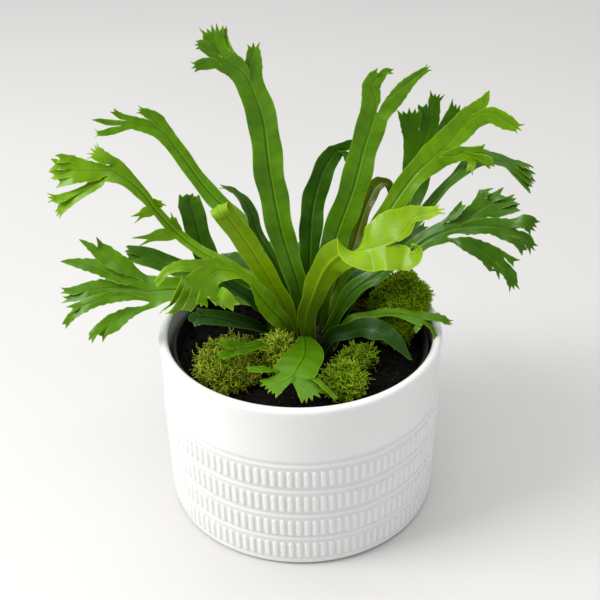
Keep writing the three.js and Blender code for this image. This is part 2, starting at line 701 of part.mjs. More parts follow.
    at: [
      [2, 28, 96, 2.6], [2, 40, 107, 4.6], [2, 60, 114, 6.6], [2, 80, 118, 7.6],
      [2, 96, 115, 8.2],
    ],
    lobes: [
      { at: [[-4, 107, 108, 3.2], [-9, 114, 94, 2.4]], teeth: 3, reach: 4 },
      { at: [[2, 111, 106, 4], [2, 120, 90, 3.2]], teeth: 3, reach: 5 },
      { at: [[8, 107, 108, 3.2], [13, 114, 94, 2.4]], teeth: 3, reach: 4 },
    ],
  },
  {
    name: "frond_rear_c",
    leaf: "mid",
    fold: 0.18,
    across: [[1, 0.3, 0], [1, 0.3, 0]],
    at: [
      [-3.6, 27.1, 96, 2.6], [-7.3, 38.5, 107, 4.6], [-13.5, 57.6, 115, 6.6],
      [-19.6, 76.6, 119, 7.6], [-24.6, 91.8, 116, 8.2],
    ],
    lobes: [
      { at: [[-33.7, 100.4, 109, 3.2], [-40.6, 105.5, 98, 2.4]], teeth: 3, reach: 4 },
      { at: [[-29.2, 106.1, 107, 4], [-32, 114.6, 94, 3.2]], teeth: 3, reach: 5 },
      { at: [[-22.3, 104.1, 109, 3.2], [-19.7, 112.3, 98, 2.4]], teeth: 3, reach: 4 },
    ],
  },
  {
    name: "frond_rear_d",
    leaf: "dark",
    fold: 0.18,
    across: [[0.8, 0.6, 0], [0.8, 0.6, 0]],
    at: [
      [-9.1, 24.2, 96, 2.6], [-16.5, 33.6, 107, 4.6], [-28.8, 49.4, 114, 6.6],
      [-41.1, 65.2, 118, 7.6], [-50.9, 77.8, 115, 8.2],
    ],
    lobes: [
      { at: [[-62.4, 82.7, 108, 3.2], [-70.7, 85.2, 92, 2.4]], teeth: 3, reach: 4 },
      { at: [[-60.2, 89.6, 106, 4], [-65.7, 96.7, 88, 3.2]], teeth: 3, reach: 5 },
      { at: [[-53, 90.1, 108, 3.2], [-53.4, 98.7, 92, 2.4]], teeth: 3, reach: 4 },
    ],
  },
  {
    name: "frond_rear_e",
    leaf: "dark",
    fold: 0.18,
    across: [[0.8, -0.6, 0], [0.8, -0.6, 0]],
    at: [
      [13.1, 24.2, 96, 2.6], [20.5, 33.6, 107, 4.6], [32.8, 49.4, 114, 6.6],
      [45.1, 65.2, 118, 7.6], [54.9, 77.8, 115, 8.2],
    ],
    lobes: [
      { at: [[57, 90.1, 108, 3.2], [57.4, 98.7, 94, 2.4]], teeth: 3, reach: 4 },
      { at: [[64.2, 89.6, 106, 4], [69.7, 96.7, 90, 3.2]], teeth: 3, reach: 5 },
      { at: [[66.4, 82.7, 108, 3.2], [74.7, 85.2, 94, 2.4]], teeth: 3, reach: 4 },
    ],
  },
];

const vector = (numbers) => new THREE.Vector3(...numbers.slice(0, 3));

// The strap's midline: a smooth curve through the stations, with the width in between.
function midline(stations) {
  const curve = new THREE.CatmullRomCurve3(stations.map(vector), false, "catmullrom", 0.5);
  const halves = stations.map((station) => station[3]);
  return (share) => {
    const place = share * (halves.length - 1);
    const before = Math.min(Math.floor(place), halves.length - 2);
    const half = THREE.MathUtils.lerp(halves[before], halves[before + 1], place - before);
    return { centre: curve.getPoint(share), along: curve.getTangent(share), half };
  };
}

// The part of a vector that is square to another, at unit length.
function square(direction, axis) {
  return direction.clone().addScaledVector(axis, -direction.dot(axis)).normalize();
}

// A seeded draw between 0 and 1.
function makeDraw(seed) {
  let state = (seed * 2654435761 + 12345) >>> 0;
  return () => {
    state = (Math.imul(state, 1664525) + 1013904223) >>> 0;
    return state / 4294967296;
  };
}

// The middle surface of a blade, grown strip by strip, which is thickened at the end.
class Sheet {
  points = [];
  halves = [];
  strips = [[]];

  // Each lobe is a strip of its own, so that lobes may lie over each other.
  beginStrip() {
    this.strips.push([]);
  }

  face(...ids) {
    this.strips.at(-1).push(ids);
  }

  vertex(point, half) {
    this.points.push(point);
    this.halves.push(half);
    return this.points.length - 1;
  }

  // Fills between two rows, each with its vertices and their shares from 0 to 1.
  fill(lower, upper) {
    let i = 0;
    let j = 0;
    while (i + 1 < lower.ids.length || j + 1 < upper.ids.length) {
      const nextLower = i + 1 < lower.ids.length ? lower.shares[i + 1] : Infinity;
      const nextUpper = j + 1 < upper.ids.length ? upper.shares[j + 1] : Infinity;
      if (nextLower <= nextUpper) {
        this.face(lower.ids[i], lower.ids[i + 1], upper.ids[j]);
        i += 1;
      } else {
        this.face(lower.ids[i], upper.ids[j + 1], upper.ids[j]);
        j += 1;
      }
    }
  }

  // The positions of all the vertices on the upper face, then of those on the lower one.
  skins() {
    const normals = this.points.map(() => new THREE.Vector3());
    this.strips.flat().forEach(([a, b, c]) => {
      const [p, q, r] = [this.points[a], this.points[b], this.points[c]];
      const normal = q.clone().sub(p).cross(r.clone().sub(p));
      [a, b, c].forEach((id) => normals[id].add(normal));
    });
    return [1, -1].flatMap((face) =>
      this.points.flatMap((point, id) => {
        const offset = normals[id].clone().normalize();
        return point.clone().addScaledVector(offset, face * this.halves[id]).toArray();
      }),
    );
  }

  // A strip as a closed solid: both faces, split alike, and a wall along every open edge.
  stripSolid(faces, positions) {
    const count = this.points.length;
    const edges = new Set(faces.flatMap(([a, b, c]) => [`${a},${b}`, `${b},${c}`, `${c},${a}`]));
    const index = faces.flatMap(([a, b, c]) => [a, b, c, a + count, c + count, b + count]);
    edges.forEach((edge) => {
      const [a, b] = edge.split(",").map(Number);
      if (edges.has(`${b},${a}`)) return;
      if (a < b) index.push(b, a, a + count, b, a + count, b + count);
      else index.push(b, a, b + count, a, a + count, b + count);
    });
    return solidOf(bufferGeometry(positions, index));
  }

  solid() {
    const positions = this.skins();
    const [strap, ...lobes] = this.strips.map((faces) => this.stripSolid(faces, positions));
    return lobes.reduce((body, lobe) => body.add(lobe), strap);
  }
}

// One row of the blade. Shares run from 0 at the left edge to 1 at the right.
function addRow(sheet, frame, shares, frond, ribHalf) {
  const ids = shares.map((share) => {
    const column = 2 * share - 1;
    const lift = (frond.fold ?? 0) * frame.half * frame.flatten * Math.abs(column);
    const ripple = (frond.wave ?? 0) * Math.sin(frame.travel / 6 + column) * column * column;
    const point = frame.centre
      .clone()
      .addScaledVector(frame.side, frame.half * column)
      .addScaledVector(frame.up, lift + ripple);
    return sheet.vertex(point, THREE.MathUtils.lerp(ribHalf, BLADE_HALF, Math.abs(column)));
  });
  return { ids, shares };
}

// Where the lobes part, as shares of the row that they grow from.
function forkShares(lobes) {
  const total = lobes.reduce((sum, lobe) => sum + lobe.at[0][3], 0);
  let share = 0;
  return lobes.map((lobe) => {
    const from = share;
    share += lobe.at[0][3] / total;
    return [from, lobe === lobes.at(-1) ? 1 : share];
  });
}

// The shares of a row's vertices: the ends of its lobes and, in wide lobes, their middles.
function rowShares(node) {
  if (node.lobes) {
    return forkShares(node.lobes).flatMap(([from, to]) => [from, (from + to) / 2]).concat(1);
  }
  if (node.teeth) {
    return Array.from({ length: node.teeth + 1 }, (_, tooth) => tooth / node.teeth);
  }
  return [0, 0.5, 1];
}

function growTeeth(sheet, row, frame, lobe, draw) {
  const fan = lobe.fan ?? DEFAULT_FAN;
  for (let tooth = 0; tooth < lobe.teeth; tooth += 1) {
    const [left, right] = [row.ids[tooth], row.ids[tooth + 1]];
    const lean = lobe.teeth > 1 ? fan * ((2 * tooth + 1) / lobe.teeth - 1) * 1.4 : 0;
    const reach = (lobe.reach ?? DEFAULT_REACH) * (0.75 + 0.5 * draw());
    const tip = sheet.points[left]
      .clone()
      .lerp(sheet.points[right], 0.5)
      .addScaledVector(frame.along, reach * Math.cos(lean))
      .addScaledVector(frame.side, reach * Math.sin(lean));
    const id = sheet.vertex(tip, BLADE_HALF);
    sheet.face(left, right, id);
  }
}

// Grows lobes, and what they fork into, from the row that ends their parent.
function growLobes(sheet, parent, row, frame, frond, draw) {
  forkShares(parent.lobes).forEach(([from, to], number) => {
    const lobe = parent.lobes[number];
    const ids = row.ids.slice(2 * number, 2 * number + 3);
    const start = sheet.points[ids[0]].clone().lerp(sheet.points[ids[2]], 0.5);
    const line = midline([[...start.toArray(), frame.half * (to - from)], ...lobe.at]);
    let last = { ids, shares: [0, 0.5, 1] };
    sheet.beginStrip();
    let up = frame.up;
    let end = frame;
    lobe.at.forEach((_, station) => {
      const final = station === lobe.at.length - 1;
      const { centre, along, half } = line((station + 1) / lobe.at.length);
      up = square(up, along);
      const travel = frame.travel + 6 * (station + 1);
      end = { centre, along, half, up, side: along.clone().cross(up), travel, flatten: 0.6 };
      const next = addRow(sheet, end, rowShares(final ? lobe : {}), frond, CREST_RIB_HALF);
      sheet.fill(last, next);
      last = next;
    });
    if (lobe.lobes) growLobes(sheet, lobe, last, end, frond, draw);
    else growTeeth(sheet, last, end, lobe, draw);
  });
}

function strapFrame(line, frond, share) {
  const { centre, along, half } = line(share);
  const across = vector(frond.across[0]).lerp(vector(frond.across[1]), share);
  const side = square(across, along);
  const travel = 12 * share * frond.at.length;
  return { centre, along, half, side, up: side.clone().cross(along), travel, flatten: 1 };
}

// A small side lobe on the strap's edge between two rows.
function growSpur(sheet, rows, [station, side, ...tip]) {
  const [lower, upper] = [rows[2 * station], rows[2 * station + 1]];
  const base = side < 0 ? [lower.ids[0], upper.ids[0]] : [upper.ids.at(-1), lower.ids.at(-1)];
  const middle = base.map((id) =>
    sheet.vertex(sheet.points[id].clone().lerp(vector(tip), 0.5), BLADE_HALF),
  );
  const shares = [0, 1];
  sheet.beginStrip();
  sheet.fill({ ids: base, shares }, { ids: middle, shares });
  sheet.face(...middle, sheet.vertex(vector(tip), BLADE_HALF));
}

function frondGeometry(frond, number) {
  const sheet = new Sheet();
  const line = midline(frond.at);
  const steps = 2 * (frond.at.length - 1);
  const rows = [];
  let frame;
  for (let step = 0; step <= steps; step += 1) {
    const share = step / steps;
    frame = strapFrame(line, frond, share);
    const ribHalf = THREE.MathUtils.lerp(RIB_HALF, CREST_RIB_HALF, share);
    const row = addRow(sheet, frame, rowShares(step < steps ? {} : frond), frond, ribHalf);
    if (rows.length) sheet.fill(rows.at(-1), row);
    rows.push(row);
  }
  (frond.spurs ?? []).forEach((spur) => growSpur(sheet, rows, spur));
  growLobes(sheet, frond, rows.at(-1), frame, frond, makeDraw(number + 1));
  return geometryOf(sheet.solid());
}

// The hole that a frond's stalk stands in: the stalk's own section, a little larger.
function socketSolid(frond) {
  const sheet = new Sheet();
  const frame = strapFrame(midline(frond.at), frond, 0);
  const rows = [-SOCKET_DEPTH, SOCKET_LENGTH].map((travel) => {
    const centre = frame.centre.clone().addScaledVector(frame.along, travel);
    const half = frame.half + GAP + Math.max(travel, 0) * SOCKET_FLARE;
    return addRow(sheet, { ...frame, centre, half }, [0, 0.5, 1], frond, RIB_HALF + GAP);
  });
  sheet.halves = sheet.halves.map((half) => half + GAP);
  sheet.fill(...rows);
  return sheet.solid();
}

// ---- assembly ---------------------------------------------------------------

const finish = (color, roughness) => new THREE.MeshStandardMaterial({ color, roughness });

const LEAF_COLOURS = {
  old: 0x4c8a10,
  mid: 0x569a12,
  young: 0x6fae14,
  new: 0x8cc416,
  dark: 0x2f6a14,
  brown: 0x5d6a1e,
};

const plant = new THREE.Group();

function place(name, geometry, material) {
  const mesh = new THREE.Mesh(geometry, material);
  mesh.name = name;
  plant.add(mesh);
}

place("pot", potGeometry(), finish(0xf4f3ef, 0.15));
place("nursery_pot", nurseryGeometry(), finish(0x15161a, 0.5));
place("soil", soilGeometry(), finish(0x1a120d, 0.95));
place("crown", crownGeometry(FRONDS), finish(0x3a2a18, 0.9));
Object.entries(MOSS).forEach(([name, clump]) => {
  place(name, mossGeometry(clump), finish(0x8a9a3a, 0.95));
});
FRONDS.forEach((frond, number) => {
  place(frond.name, frondGeometry(frond, number), finish(LEAF_COLOURS[frond.leaf], 0.35));
});

export default plant;
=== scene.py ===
"""A crested bird's-nest fern in a nursery pot, standing inside a glazed ceramic pot."""

import math
from itertools import combinations

import bpy
import numpy as np
from mathutils import Matrix, Vector
from mathutils.kdtree import KDTree


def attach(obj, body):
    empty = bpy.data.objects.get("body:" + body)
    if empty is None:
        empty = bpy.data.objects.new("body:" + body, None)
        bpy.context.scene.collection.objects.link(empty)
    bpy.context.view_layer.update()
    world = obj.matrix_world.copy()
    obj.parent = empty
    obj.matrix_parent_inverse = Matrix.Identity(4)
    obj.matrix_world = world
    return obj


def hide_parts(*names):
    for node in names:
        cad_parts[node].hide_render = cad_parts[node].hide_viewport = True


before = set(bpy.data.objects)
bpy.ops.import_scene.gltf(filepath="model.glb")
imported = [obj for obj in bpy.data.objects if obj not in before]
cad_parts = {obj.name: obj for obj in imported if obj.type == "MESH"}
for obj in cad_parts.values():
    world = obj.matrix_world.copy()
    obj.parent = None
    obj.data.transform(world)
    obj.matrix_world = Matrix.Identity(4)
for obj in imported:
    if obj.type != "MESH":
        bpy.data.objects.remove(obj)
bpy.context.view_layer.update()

TAU = 2 * math.pi
SEEDS = {"soil": 7, "crown": 11, "moss": 40, "fronds": 100}
MM = 0.001  # the numbers below are millimetres, and the scene is in metres

# ---- dimensions, the same as in the model's source ---------------------------

POT_HEIGHT = 112.3
POT_BASE_RADIUS = 79.2
POT_RIM_RADIUS = 82.5
POT_WALL = 5.6
POT_FLOOR = 7
RELIEF = 0.8  # how far a bar stands out
BARS = 110  # raised bars round the pot in each row
BAND_STARTS = [6, 23, 41, 59]  # the height at which each row of bars starts
BAR_LENGTH = 11.5
RIDGE_RISE = 3  # how far above each row its ridge runs

NURSERY_FLOOR = 7.3
NURSERY_RIM_RADIUS = 74.5
NURSERY_RADIUS = 73.2
NURSERY_BASE_RADIUS = 61
NURSERY_WALL = 1
NURSERY_TOP = 104

SOIL_LEVEL = 94
CROWN_CENTRE = np.array([2.0, 10.0])
CROWN_RADIUS = 22
CROWN_FOOT = 84
CROWN_TOP = 104


def lobe(*at, lobes=(), **ending):
    """A lobe: stations along it, and the lobes that it ends in or, without them, its teeth.

    Its teeth are reach millimetres long, and fan out by up to fan radians at each side.
    """
    return {"at": at, "lobes": lobes, "teeth": 0 if lobes else 2, "reach": 4, "fan": 0.55} | ending


def rear_frond(turn, leaf, top, tip, **more):
    """A plain frond behind the crown, at this angle in degrees, that rises to top and ends at tip.

    Its places are rounded to a tenth of a millimetre.
    """
    cos, sin = math.cos(math.radians(turn)), math.sin(math.radians(turn))

    def at(distance, level, half, aside=0):
        x = CROWN_CENTRE[0] + distance * cos - aside * sin
        y = CROWN_CENTRE[1] + distance * sin + aside * cos
        return (round(x, 1), round(y, 1), level, half)

    return dict(
        leaf=leaf, fold=0.18, across=[(round(sin, 1), round(-cos, 1), 0)] * 2,
        at=[
            at(18, 96, 2.6), at(30, 107, 4.6), at(50, top - 4, 6.6), at(70, top, 7.6),
            at(86, top - 3, 8.2),
        ],
        lobes=[
            lobe(at(97, top - 10, 3.2, 6), at(104, tip, 2.4, 11), teeth=3),
            lobe(at(101, top - 12, 4), at(110, tip - 4, 3.2), teeth=3, reach=5),
            lobe(at(97, top - 10, 3.2, -6), at(104, tip, 2.4, -11), teeth=3),
        ],
        **more,
    )


# Each frond, from these entries:
# leaf    which of LEAF_COLOURS it has
# slot    the material slot in the record, where it isn't that leaf's own
# at      stations up its midrib, each x, y, z and half its width
# across  directions across it, spread evenly from its stalk to its fork
# lobes   what it forks into, from left to right as its glossy face is seen
# teeth   for a frond that doesn't fork, how many teeth it is as wide as
# web     how far each gap between lobes is filled, from 0 to 1: one number, or one a gap.
#         A lobe without its own has the frond's.
# fold    how far its edges fold up, as a share of half its width
# ruffle  how far its edges rise and fall, as a share of half its width (0.17 if not given)
# wave    how far its edges ripple
# jag     how ragged its lobes' edges are
# spurs   leaflets on its edge: a station, a hand (-1 is left), and the place each reaches
# coil    a fiddlehead: its turns, its outer and inner radius, and half its width at the end
FRONDS = {
    "tall_left": dict(
        leaf="mid", slot="leaf_old", web=0.12, fold=0.28, ruffle=0.17,
        across=[(1, 0, 0), (1, 0, 0.1)],
        at=[
            (-3, 6, 100, 3.5), (2, 9, 112, 5.4), (-1, 12, 132, 5.6), (-10, 17, 165, 7.5),
            (-16, 23, 200, 8.4), (-19, 28, 229, 8.2), (-25, 30, 249, 7.8),
        ],
        lobes=[
            lobe((-32, 30, 258, 6), (-38, 29, 264, 7), web=[0.55, 0.6, 0.4], lobes=[
                lobe((-45, 27, 263, 3.4), (-51, 26, 263, 3.2),
                     (-54, 25, 262, 2.4), teeth=3, fan=0.8),
                lobe((-46, 29, 269, 2.8), (-50, 28, 273, 2.8), (-52, 28, 273, 2.2), teeth=3, reach=3.5),
                lobe((-43, 31, 274, 5.2), (-44, 31, 279, 5.6), teeth=5, reach=5, fan=0.45),
                lobe((-38, 32, 275, 1.8), (-38, 32, 280, 1.4), fan=0.3),
            ]),
            lobe((-23, 31, 260, 4.4), (-23, 31, 267, 3.9), (-23, 31, 270, 3), teeth=3, reach=5),
        ],
    ),
    "tall_right": dict(
        leaf="mid", web=0.12, fold=0.2, across=[(1, 0, 0), (1, -0.1, -0.1)],
        at=[
            (8, 10, 101, 3.5), (11, 14, 107, 5.1), (14, 18, 127, 5.6), (20, 24, 154, 7.8),
            (31, 30, 185, 8.2), (37, 36, 207, 8), (43, 40, 226, 8.2),
        ],
        lobes=[
            lobe((41, 42, 235, 5.4), (41, 43, 242, 5), (44, 44, 247, 4.6), web=0.55, lobes=[
                lobe((44, 44, 250, 1.6), reach=3),
                lobe((49, 45, 250, 1.9), (52, 45, 250, 1.4), reach=3),
            ]),
            lobe((52, 41, 232, 4.4), (59, 40, 242, 4), (65, 39, 249, 2.6),
                 (71, 38, 254, 1.7), teeth=3),
        ],
    ),
    "back_arch": dict(
        leaf="dark", fold=0.2, across=[(1, 0, 0), (0.8, 0.1, -0.5)],
        at=[
            (3, 19, 99, 3.5), (5, 28, 113, 5.7), (6, 38, 140, 6.2), (8, 48, 164, 7.2),
            (14, 57, 183, 6.6), (22, 62, 195, 5.4),
        ],
        lobes=[
            lobe((31, 63, 198, 3), (38, 62, 199, 2.2)),
            lobe((30, 58, 192, 3), (35, 56, 193, 2.2)),
        ],
    ),
    "back_fan": dict(
        leaf="old", slot="leaf_dark", web=[0.95, 0.75], fold=0.1,
        across=[(0.9, -0.4, 0), (1, 0, 0)],
        at=[
            (12, 21, 98, 3.5), (28, 34, 116, 6), (49, 54, 133, 6), (66, 72, 150, 7.6),
            (73, 84, 168, 8.8), (76, 90, 183, 12),
        ],
        lobes=[
            lobe((69, 93, 194, 5.4), (68, 94, 204, 7.2), teeth=5, reach=5, fan=0.5),
            lobe((80, 94, 196, 5.4), (80, 94, 205, 6.4), web=0.6, lobes=[
                lobe((76, 94, 208, 3.2)),
                lobe((83, 95, 211, 3.6), (84, 95, 214, 3.8), teeth=4, reach=4.5),
            ]),
            lobe((93, 91, 199, 5.6), (98, 90, 207, 6.6), teeth=6, reach=5, fan=0.4),
        ],
    ),
    "right_light": dict(
        leaf="young", web=0.15, fold=0.16, across=[(0.8, -0.5, 0), (0.6, -0.3, -0.7)],
        at=[
            (14, 12, 99, 3.5), (25, 20, 120, 5.7), (38, 25, 146, 5.2), (53, 31, 172, 6),
            (66, 36, 190, 6.6), (77, 40, 200, 8.4),
        ],
        lobes=[
            lobe((88, 43, 212, 7.2), (98, 46, 221, 7), web=0.3, lobes=[
                lobe((104, 48, 229, 3.4), (107, 49, 234, 1.6), teeth=1),
                lobe((109, 45, 223, 4.8), (118, 43, 220, 4.4), (124, 41, 217, 2.4), teeth=3, reach=5),
            ]),
            lobe((85, 36, 201, 4), (93, 33, 206, 4.6), web=0.8, lobes=[
                lobe((102, 31, 208, 3), (104, 31, 209, 2.2)),
                lobe((105, 29, 203, 3.2), (108, 28, 200, 2.2)),
                lobe((98, 29, 201, 3), (97, 28, 198, 2)),
            ]),
        ],
    ),
    "right_arch": dict(
        leaf="old", slot="leaf_dark", web=0.7, wave=0.3, fold=0.16,
        across=[(0.7, -0.7, 0), (0.1, -1, -0.2)],
        at=[
            (17, 14, 97, 3.5), (31, 24, 117, 6), (50, 29, 140, 5), (66, 33, 160, 5), (78, 35, 174, 4),
            (88, 36, 187, 4.2), (100, 36, 198, 6.2), (114, 34, 200, 7.4), (123, 31, 197, 8.2),
        ],
        lobes=[
            lobe((129, 30, 198, 2.8), teeth=3),
            lobe((131, 28, 194, 3), teeth=3),
            lobe((131, 25, 191, 3), teeth=3),
            lobe((129, 22, 189, 2.6), teeth=3, reach=5),
        ],
    ),
    "right_big": dict(
        leaf="old", slot="leaf_mid", web=[0.15, 0.12, 0.06], fold=0.14, jag=0.4,
        across=[(0.5, -0.8, 0), (0.2, -0.7, -0.7)],
        at=[
            (15, 6, 98, 3.5), (28, 5, 129, 5.7), (48, 2, 148, 5), (61, 0, 160, 5.6), (72, 0, 169, 5.4),
            (81, -1, 174, 6.6),
        ],
        lobes=[
            lobe((86, 2, 183, 2.6), (90, 3, 188, 2.2)),
            lobe((90, 2, 179, 4), (99, 4, 184, 5.4), (105, 5, 188, 9.6), web=0.75, lobes=[
                lobe((104, 7, 193, 3), teeth=3),
                lobe((111, 6, 193, 3)),
                lobe((118, 5, 190, 3), teeth=3, reach=4.5),
                lobe((120, 3, 186, 2.6)),
            ]),
            lobe((94, -3, 177, 3.8), (106, -5, 179, 4.8), (116, -6, 177, 7), web=[0.3, 0.5], lobes=[
                lobe((124, -6, 182, 4.2), (128, -6, 179, 4), teeth=4, reach=4.5),
                lobe((124, -8, 173, 3), (128, -9, 168, 2.4), teeth=3),
                lobe((119, -10, 172, 2.8), (123, -11, 167, 2.2)),
            ]),
            lobe((90, -10, 172, 3.6), (101, -14, 168, 5.2), (108, -17, 164, 6.8),
                 web=[0.3, 0.5, 0.7], lobes=[
                lobe((117, -18, 164, 2.2), reach=4.5),
                lobe((115, -20, 157, 3.6), (117, -22, 151, 2.4), teeth=3, reach=4.5),
                lobe((110, -20, 159, 2.6), teeth=3),
                lobe((105, -20, 161, 2.2), reach=3.5),
            ]),
        ],
    ),
    "front_bright": dict(
        leaf="new", web=0.12, fold=0.08, ruffle=0.12,
        across=[
            (-1, -0.1, 0), (-1, -0.1, 0), (-1, -0.1, 0.1), (-0.8, 0, 0.6), (-0.6, 0.2, 0.8),
            (-0.1, -0.2, 0.9), (0, -1, 0.1), (0.1, -0.6, -0.8), (0.1, -0.6, -0.8),
        ],
        at=[
            (5, 1, 99, 3.6), (4, 0, 118, 5.6), (8, -3, 135, 6.8), (13, -7, 151, 8), (18, -12, 162, 9),
            (25, -18, 171, 9.4), (31, -25, 176, 10.4), (38, -29, 180, 12.8), (45, -32, 184, 15.4),
        ],
        lobes=[
            lobe((52, -30, 195, 8.4), (59, -28, 199, 5.2), (67, -27, 199, 3.8),
                 (73, -27, 201, 2.4), teeth=3),
            lobe((53, -38, 179, 6.8), (58, -41, 179, 4.9), (62, -43, 183, 3.3),
                 (62, -42, 187, 2.2), (59, -42, 189, 1.5), reach=2),
        ],
    ),
    "back_left_long": dict(
        leaf="mid", web=0.12, fold=0.16, across=[(0.6, 0.8, 0), (0.7, 0.2, 0.6)],
        at=[
            (-8, 24, 98, 3.5), (-10, 35, 117, 5.4), (-22, 46, 137, 5), (-37, 60, 150, 5.8),
            (-55, 72, 164, 5.2), (-71, 82, 184, 4.8), (-80, 86, 196, 5.6),
        ],
        lobes=[
            lobe((-89, 87, 200, 3.8), (-99, 88, 203, 4.2), web=0.35, lobes=[
                lobe((-112, 88, 198, 2.2), (-118, 87, 197, 1.7), (-121, 87, 197, 1.5), teeth=3, reach=3),
                lobe((-113, 89, 203, 1.8), (-120, 88, 205, 1.2), teeth=1, reach=5),
                lobe((-106, 89, 207, 2), (-110, 89, 210, 1.5), reach=3),
            ]),
            lobe((-84, 88, 205, 3.4), (-90, 88, 209, 3), (-94, 88, 211, 2), teeth=3),
        ],
    ),
    "left_arch": dict(
        leaf="young", web=[0.5, 0.7], fold=0.2, jag=0.4, across=[(0.3, 0.8, 0), (0.2, 0.6, 0.7)],
        at=[
            (-13, 12, 98, 3.5), (-15, 16, 125, 5.7), (-36, 20, 138, 4.4), (-56, 24, 148, 4.2),
            (-70, 27, 159, 3.7), (-82, 29, 173, 3.5), (-89, 30, 184, 3.9), (-97, 30, 193, 5),
            (-105, 30, 199, 7.4),
        ],
        spurs=[
            (4, -1, -96, 20, 158), (5, -1, -95, 22, 172), (4, 1, -72, 26, 173), (5, 1, -77, 28, 179),
        ],
        lobes=[
            lobe((-111, 27, 195, 3.4), (-120, 24, 190, 3.6), web=0.5, lobes=[
                lobe((-132, 21, 182, 3), (-136, 20, 178, 2.4), teeth=3),
                lobe((-134, 22, 186, 2.6), (-139, 21, 187, 2.2), teeth=3),
            ]),
            lobe((-115, 28, 200, 5.6), (-126, 27, 201, 8.2), web=0.85, lobes=[
                lobe((-134, 25, 195, 2.8)),
                lobe((-137, 26, 199, 2.8), reach=4.5),
                lobe((-136, 27, 205, 2.8)),
                lobe((-133, 28, 208, 2.6)),
            ]),
            lobe((-109, 31, 207, 3.8), (-114, 32, 210, 4.2), teeth=5, reach=5, fan=0.9),
        ],
    ),
    "young_coil": dict(
        leaf="new", fold=0.06, ruffle=0.04, teeth=3, coil=(1.6, 4.2, 1, 1.2),
        across=[(0.8, 0, 0.4), (0.8, 0, 0.5)],
        at=[
            (-5, 1, 99, 3.6), (-8, 2, 121, 5.4), (-16, 0, 141, 5.8), (-24, -2, 159, 6.4),
            (-32, -4, 175, 6.6), (-38, -6, 186, 6.4), (-42, -8, 194, 6),
        ],
        lobes=[
        ],
    ),
    "cut_top": dict(
        leaf="old", slot="leaf_dark", web=0.9, fold=0.3, across=[(0.8, 0.6, 0), (1, 0.1, 0.1)],
        at=[
            (-13, 17, 98, 3.5), (-17, 24, 115, 5.7), (-32, 28, 122, 5.2), (-48, 33, 129, 6.2),
            (-57, 38, 142, 7), (-61, 42, 158, 7), (-64, 45, 170, 7.2),
        ],
        lobes=[
            lobe((-68, 46, 174, 2.2), reach=2),
            lobe((-64, 46, 175, 2.4), reach=2),
            lobe((-60, 46, 174, 2.2), reach=2),
        ],
    ),
    "left_fan": dict(
        leaf="mid", web=[0.06, 0.55, 0.35, 0.72], fold=0.14, jag=0.5,
        across=[(0, 0.8, 0.3), (0, 0.7, 0.7)],
        at=[
            (-16, 7, 98, 3.5), (-19, 2, 125, 5.7), (-38, -2, 135, 5.2), (-56, -5, 141, 6.2),
            (-73, -8, 143, 7.6), (-85, -10, 143, 9.4),
        ],
        lobes=[
            lobe((-96, -18, 134, 3.6), (-105, -22, 130, 5.2), web=0.3, lobes=[
                lobe((-109, -24, 126, 2.8), (-111, -24, 123, 2.2), reach=3.5),
                lobe((-115, -25, 126, 2.4), (-117, -25, 122, 1.8), reach=3.5),
            ]),
            lobe((-100, -16, 144, 3), (-113, -19, 143, 3.4), (-121, -20, 140, 3.8), web=0.4, lobes=[
                lobe((-127, -22, 135, 2.4), (-131, -22, 130, 1.8), reach=3.5),
                lobe((-126, -21, 140, 2.2)),
            ]),
            lobe((-104, -12, 147, 4.6), (-118, -14, 147, 5), web=0.3, lobes=[
                lobe((-126, -15, 143, 2.3), (-130, -15, 142, 1.6)),
                lobe((-126, -14, 147, 2.4), (-131, -14, 147, 1.5)),
            ]),
            lobe((-99, -8, 152, 4.6), (-111, -8, 158, 4.6), (-122, -8, 161, 3),
                 (-128, -8, 162, 1.7), teeth=1, reach=6),
            lobe((-98, -5, 157, 4.8), (-108, -3, 163, 5.4), web=0.35, lobes=[
                lobe((-115, -2, 167, 2.4), (-119, -1, 170, 1.4), teeth=1, reach=5),
                lobe((-110, -1, 167, 2.4), (-111, -1, 170, 1.3), teeth=1, reach=5),
            ]),
        ],
    ),
    "narrow_loop": dict(
        leaf="dark", fold=0.2, ruffle=0.1, across=[(0.8, 0.5, 0), (0.5, 0.4, -0.5)],
        at=[
            (-7, 12, 99, 3.5), (-9, 24, 125, 4.8), (-18, 30, 144, 3.8), (-25, 34, 156, 4),
            (-28, 37, 166, 4.6), (-32, 39, 174, 4.8), (-38, 40, 180, 3.8),
        ],
        lobes=[
            lobe((-43, 41, 182, 2.2)),
        ],
    ),
    "left_dark": dict(
        leaf="old", slot="leaf_dark", fold=0.4, across=[(0.3, 0.8, 0), (0, 0.8, 0.5)],
        at=[
            (-17, 12, 98, 3.5), (-22, 12, 124, 5.4), (-41, 16, 132, 5), (-61, 19, 137, 6),
            (-78, 21, 142, 6.6), (-91, 22, 147, 6.4),
        ],
        lobes=[
            lobe((-99, 21, 148, 2.8), reach=3),
            lobe((-99, 23, 152, 2.8)),
        ],
    ),
    "front_left": dict(
        leaf="young", slot="leaf_new", web=0.12, fold=0.16,
        across=[(0.6, 0.7, 0), (0.6, 0.7, 0), (0.5, 0.8, -0.1), (0.1, 0.8, -0.6), (0.3, 0.8, 0.2)],
        at=[
            (-5, -2, 98, 3.5), (-10, -9, 120, 5.4), (-16, -13, 131, 6.2), (-22, -18, 143, 6.6),
            (-27, -24, 156, 6.8), (-34, -31, 167, 6.8), (-43, -38, 173, 7.4),
        ],
        lobes=[
            lobe((-48, -46, 172, 8.6), (-51, -53, 168, 15.6), web=0.9, lobes=[
                lobe((-40, -62, 171, 5), (-34, -64, 167, 2.6), fan=0.6),
                lobe((-45, -60, 167, 3.4), reach=3),
                lobe((-51, -57, 164, 3.4), teeth=3, reach=3),
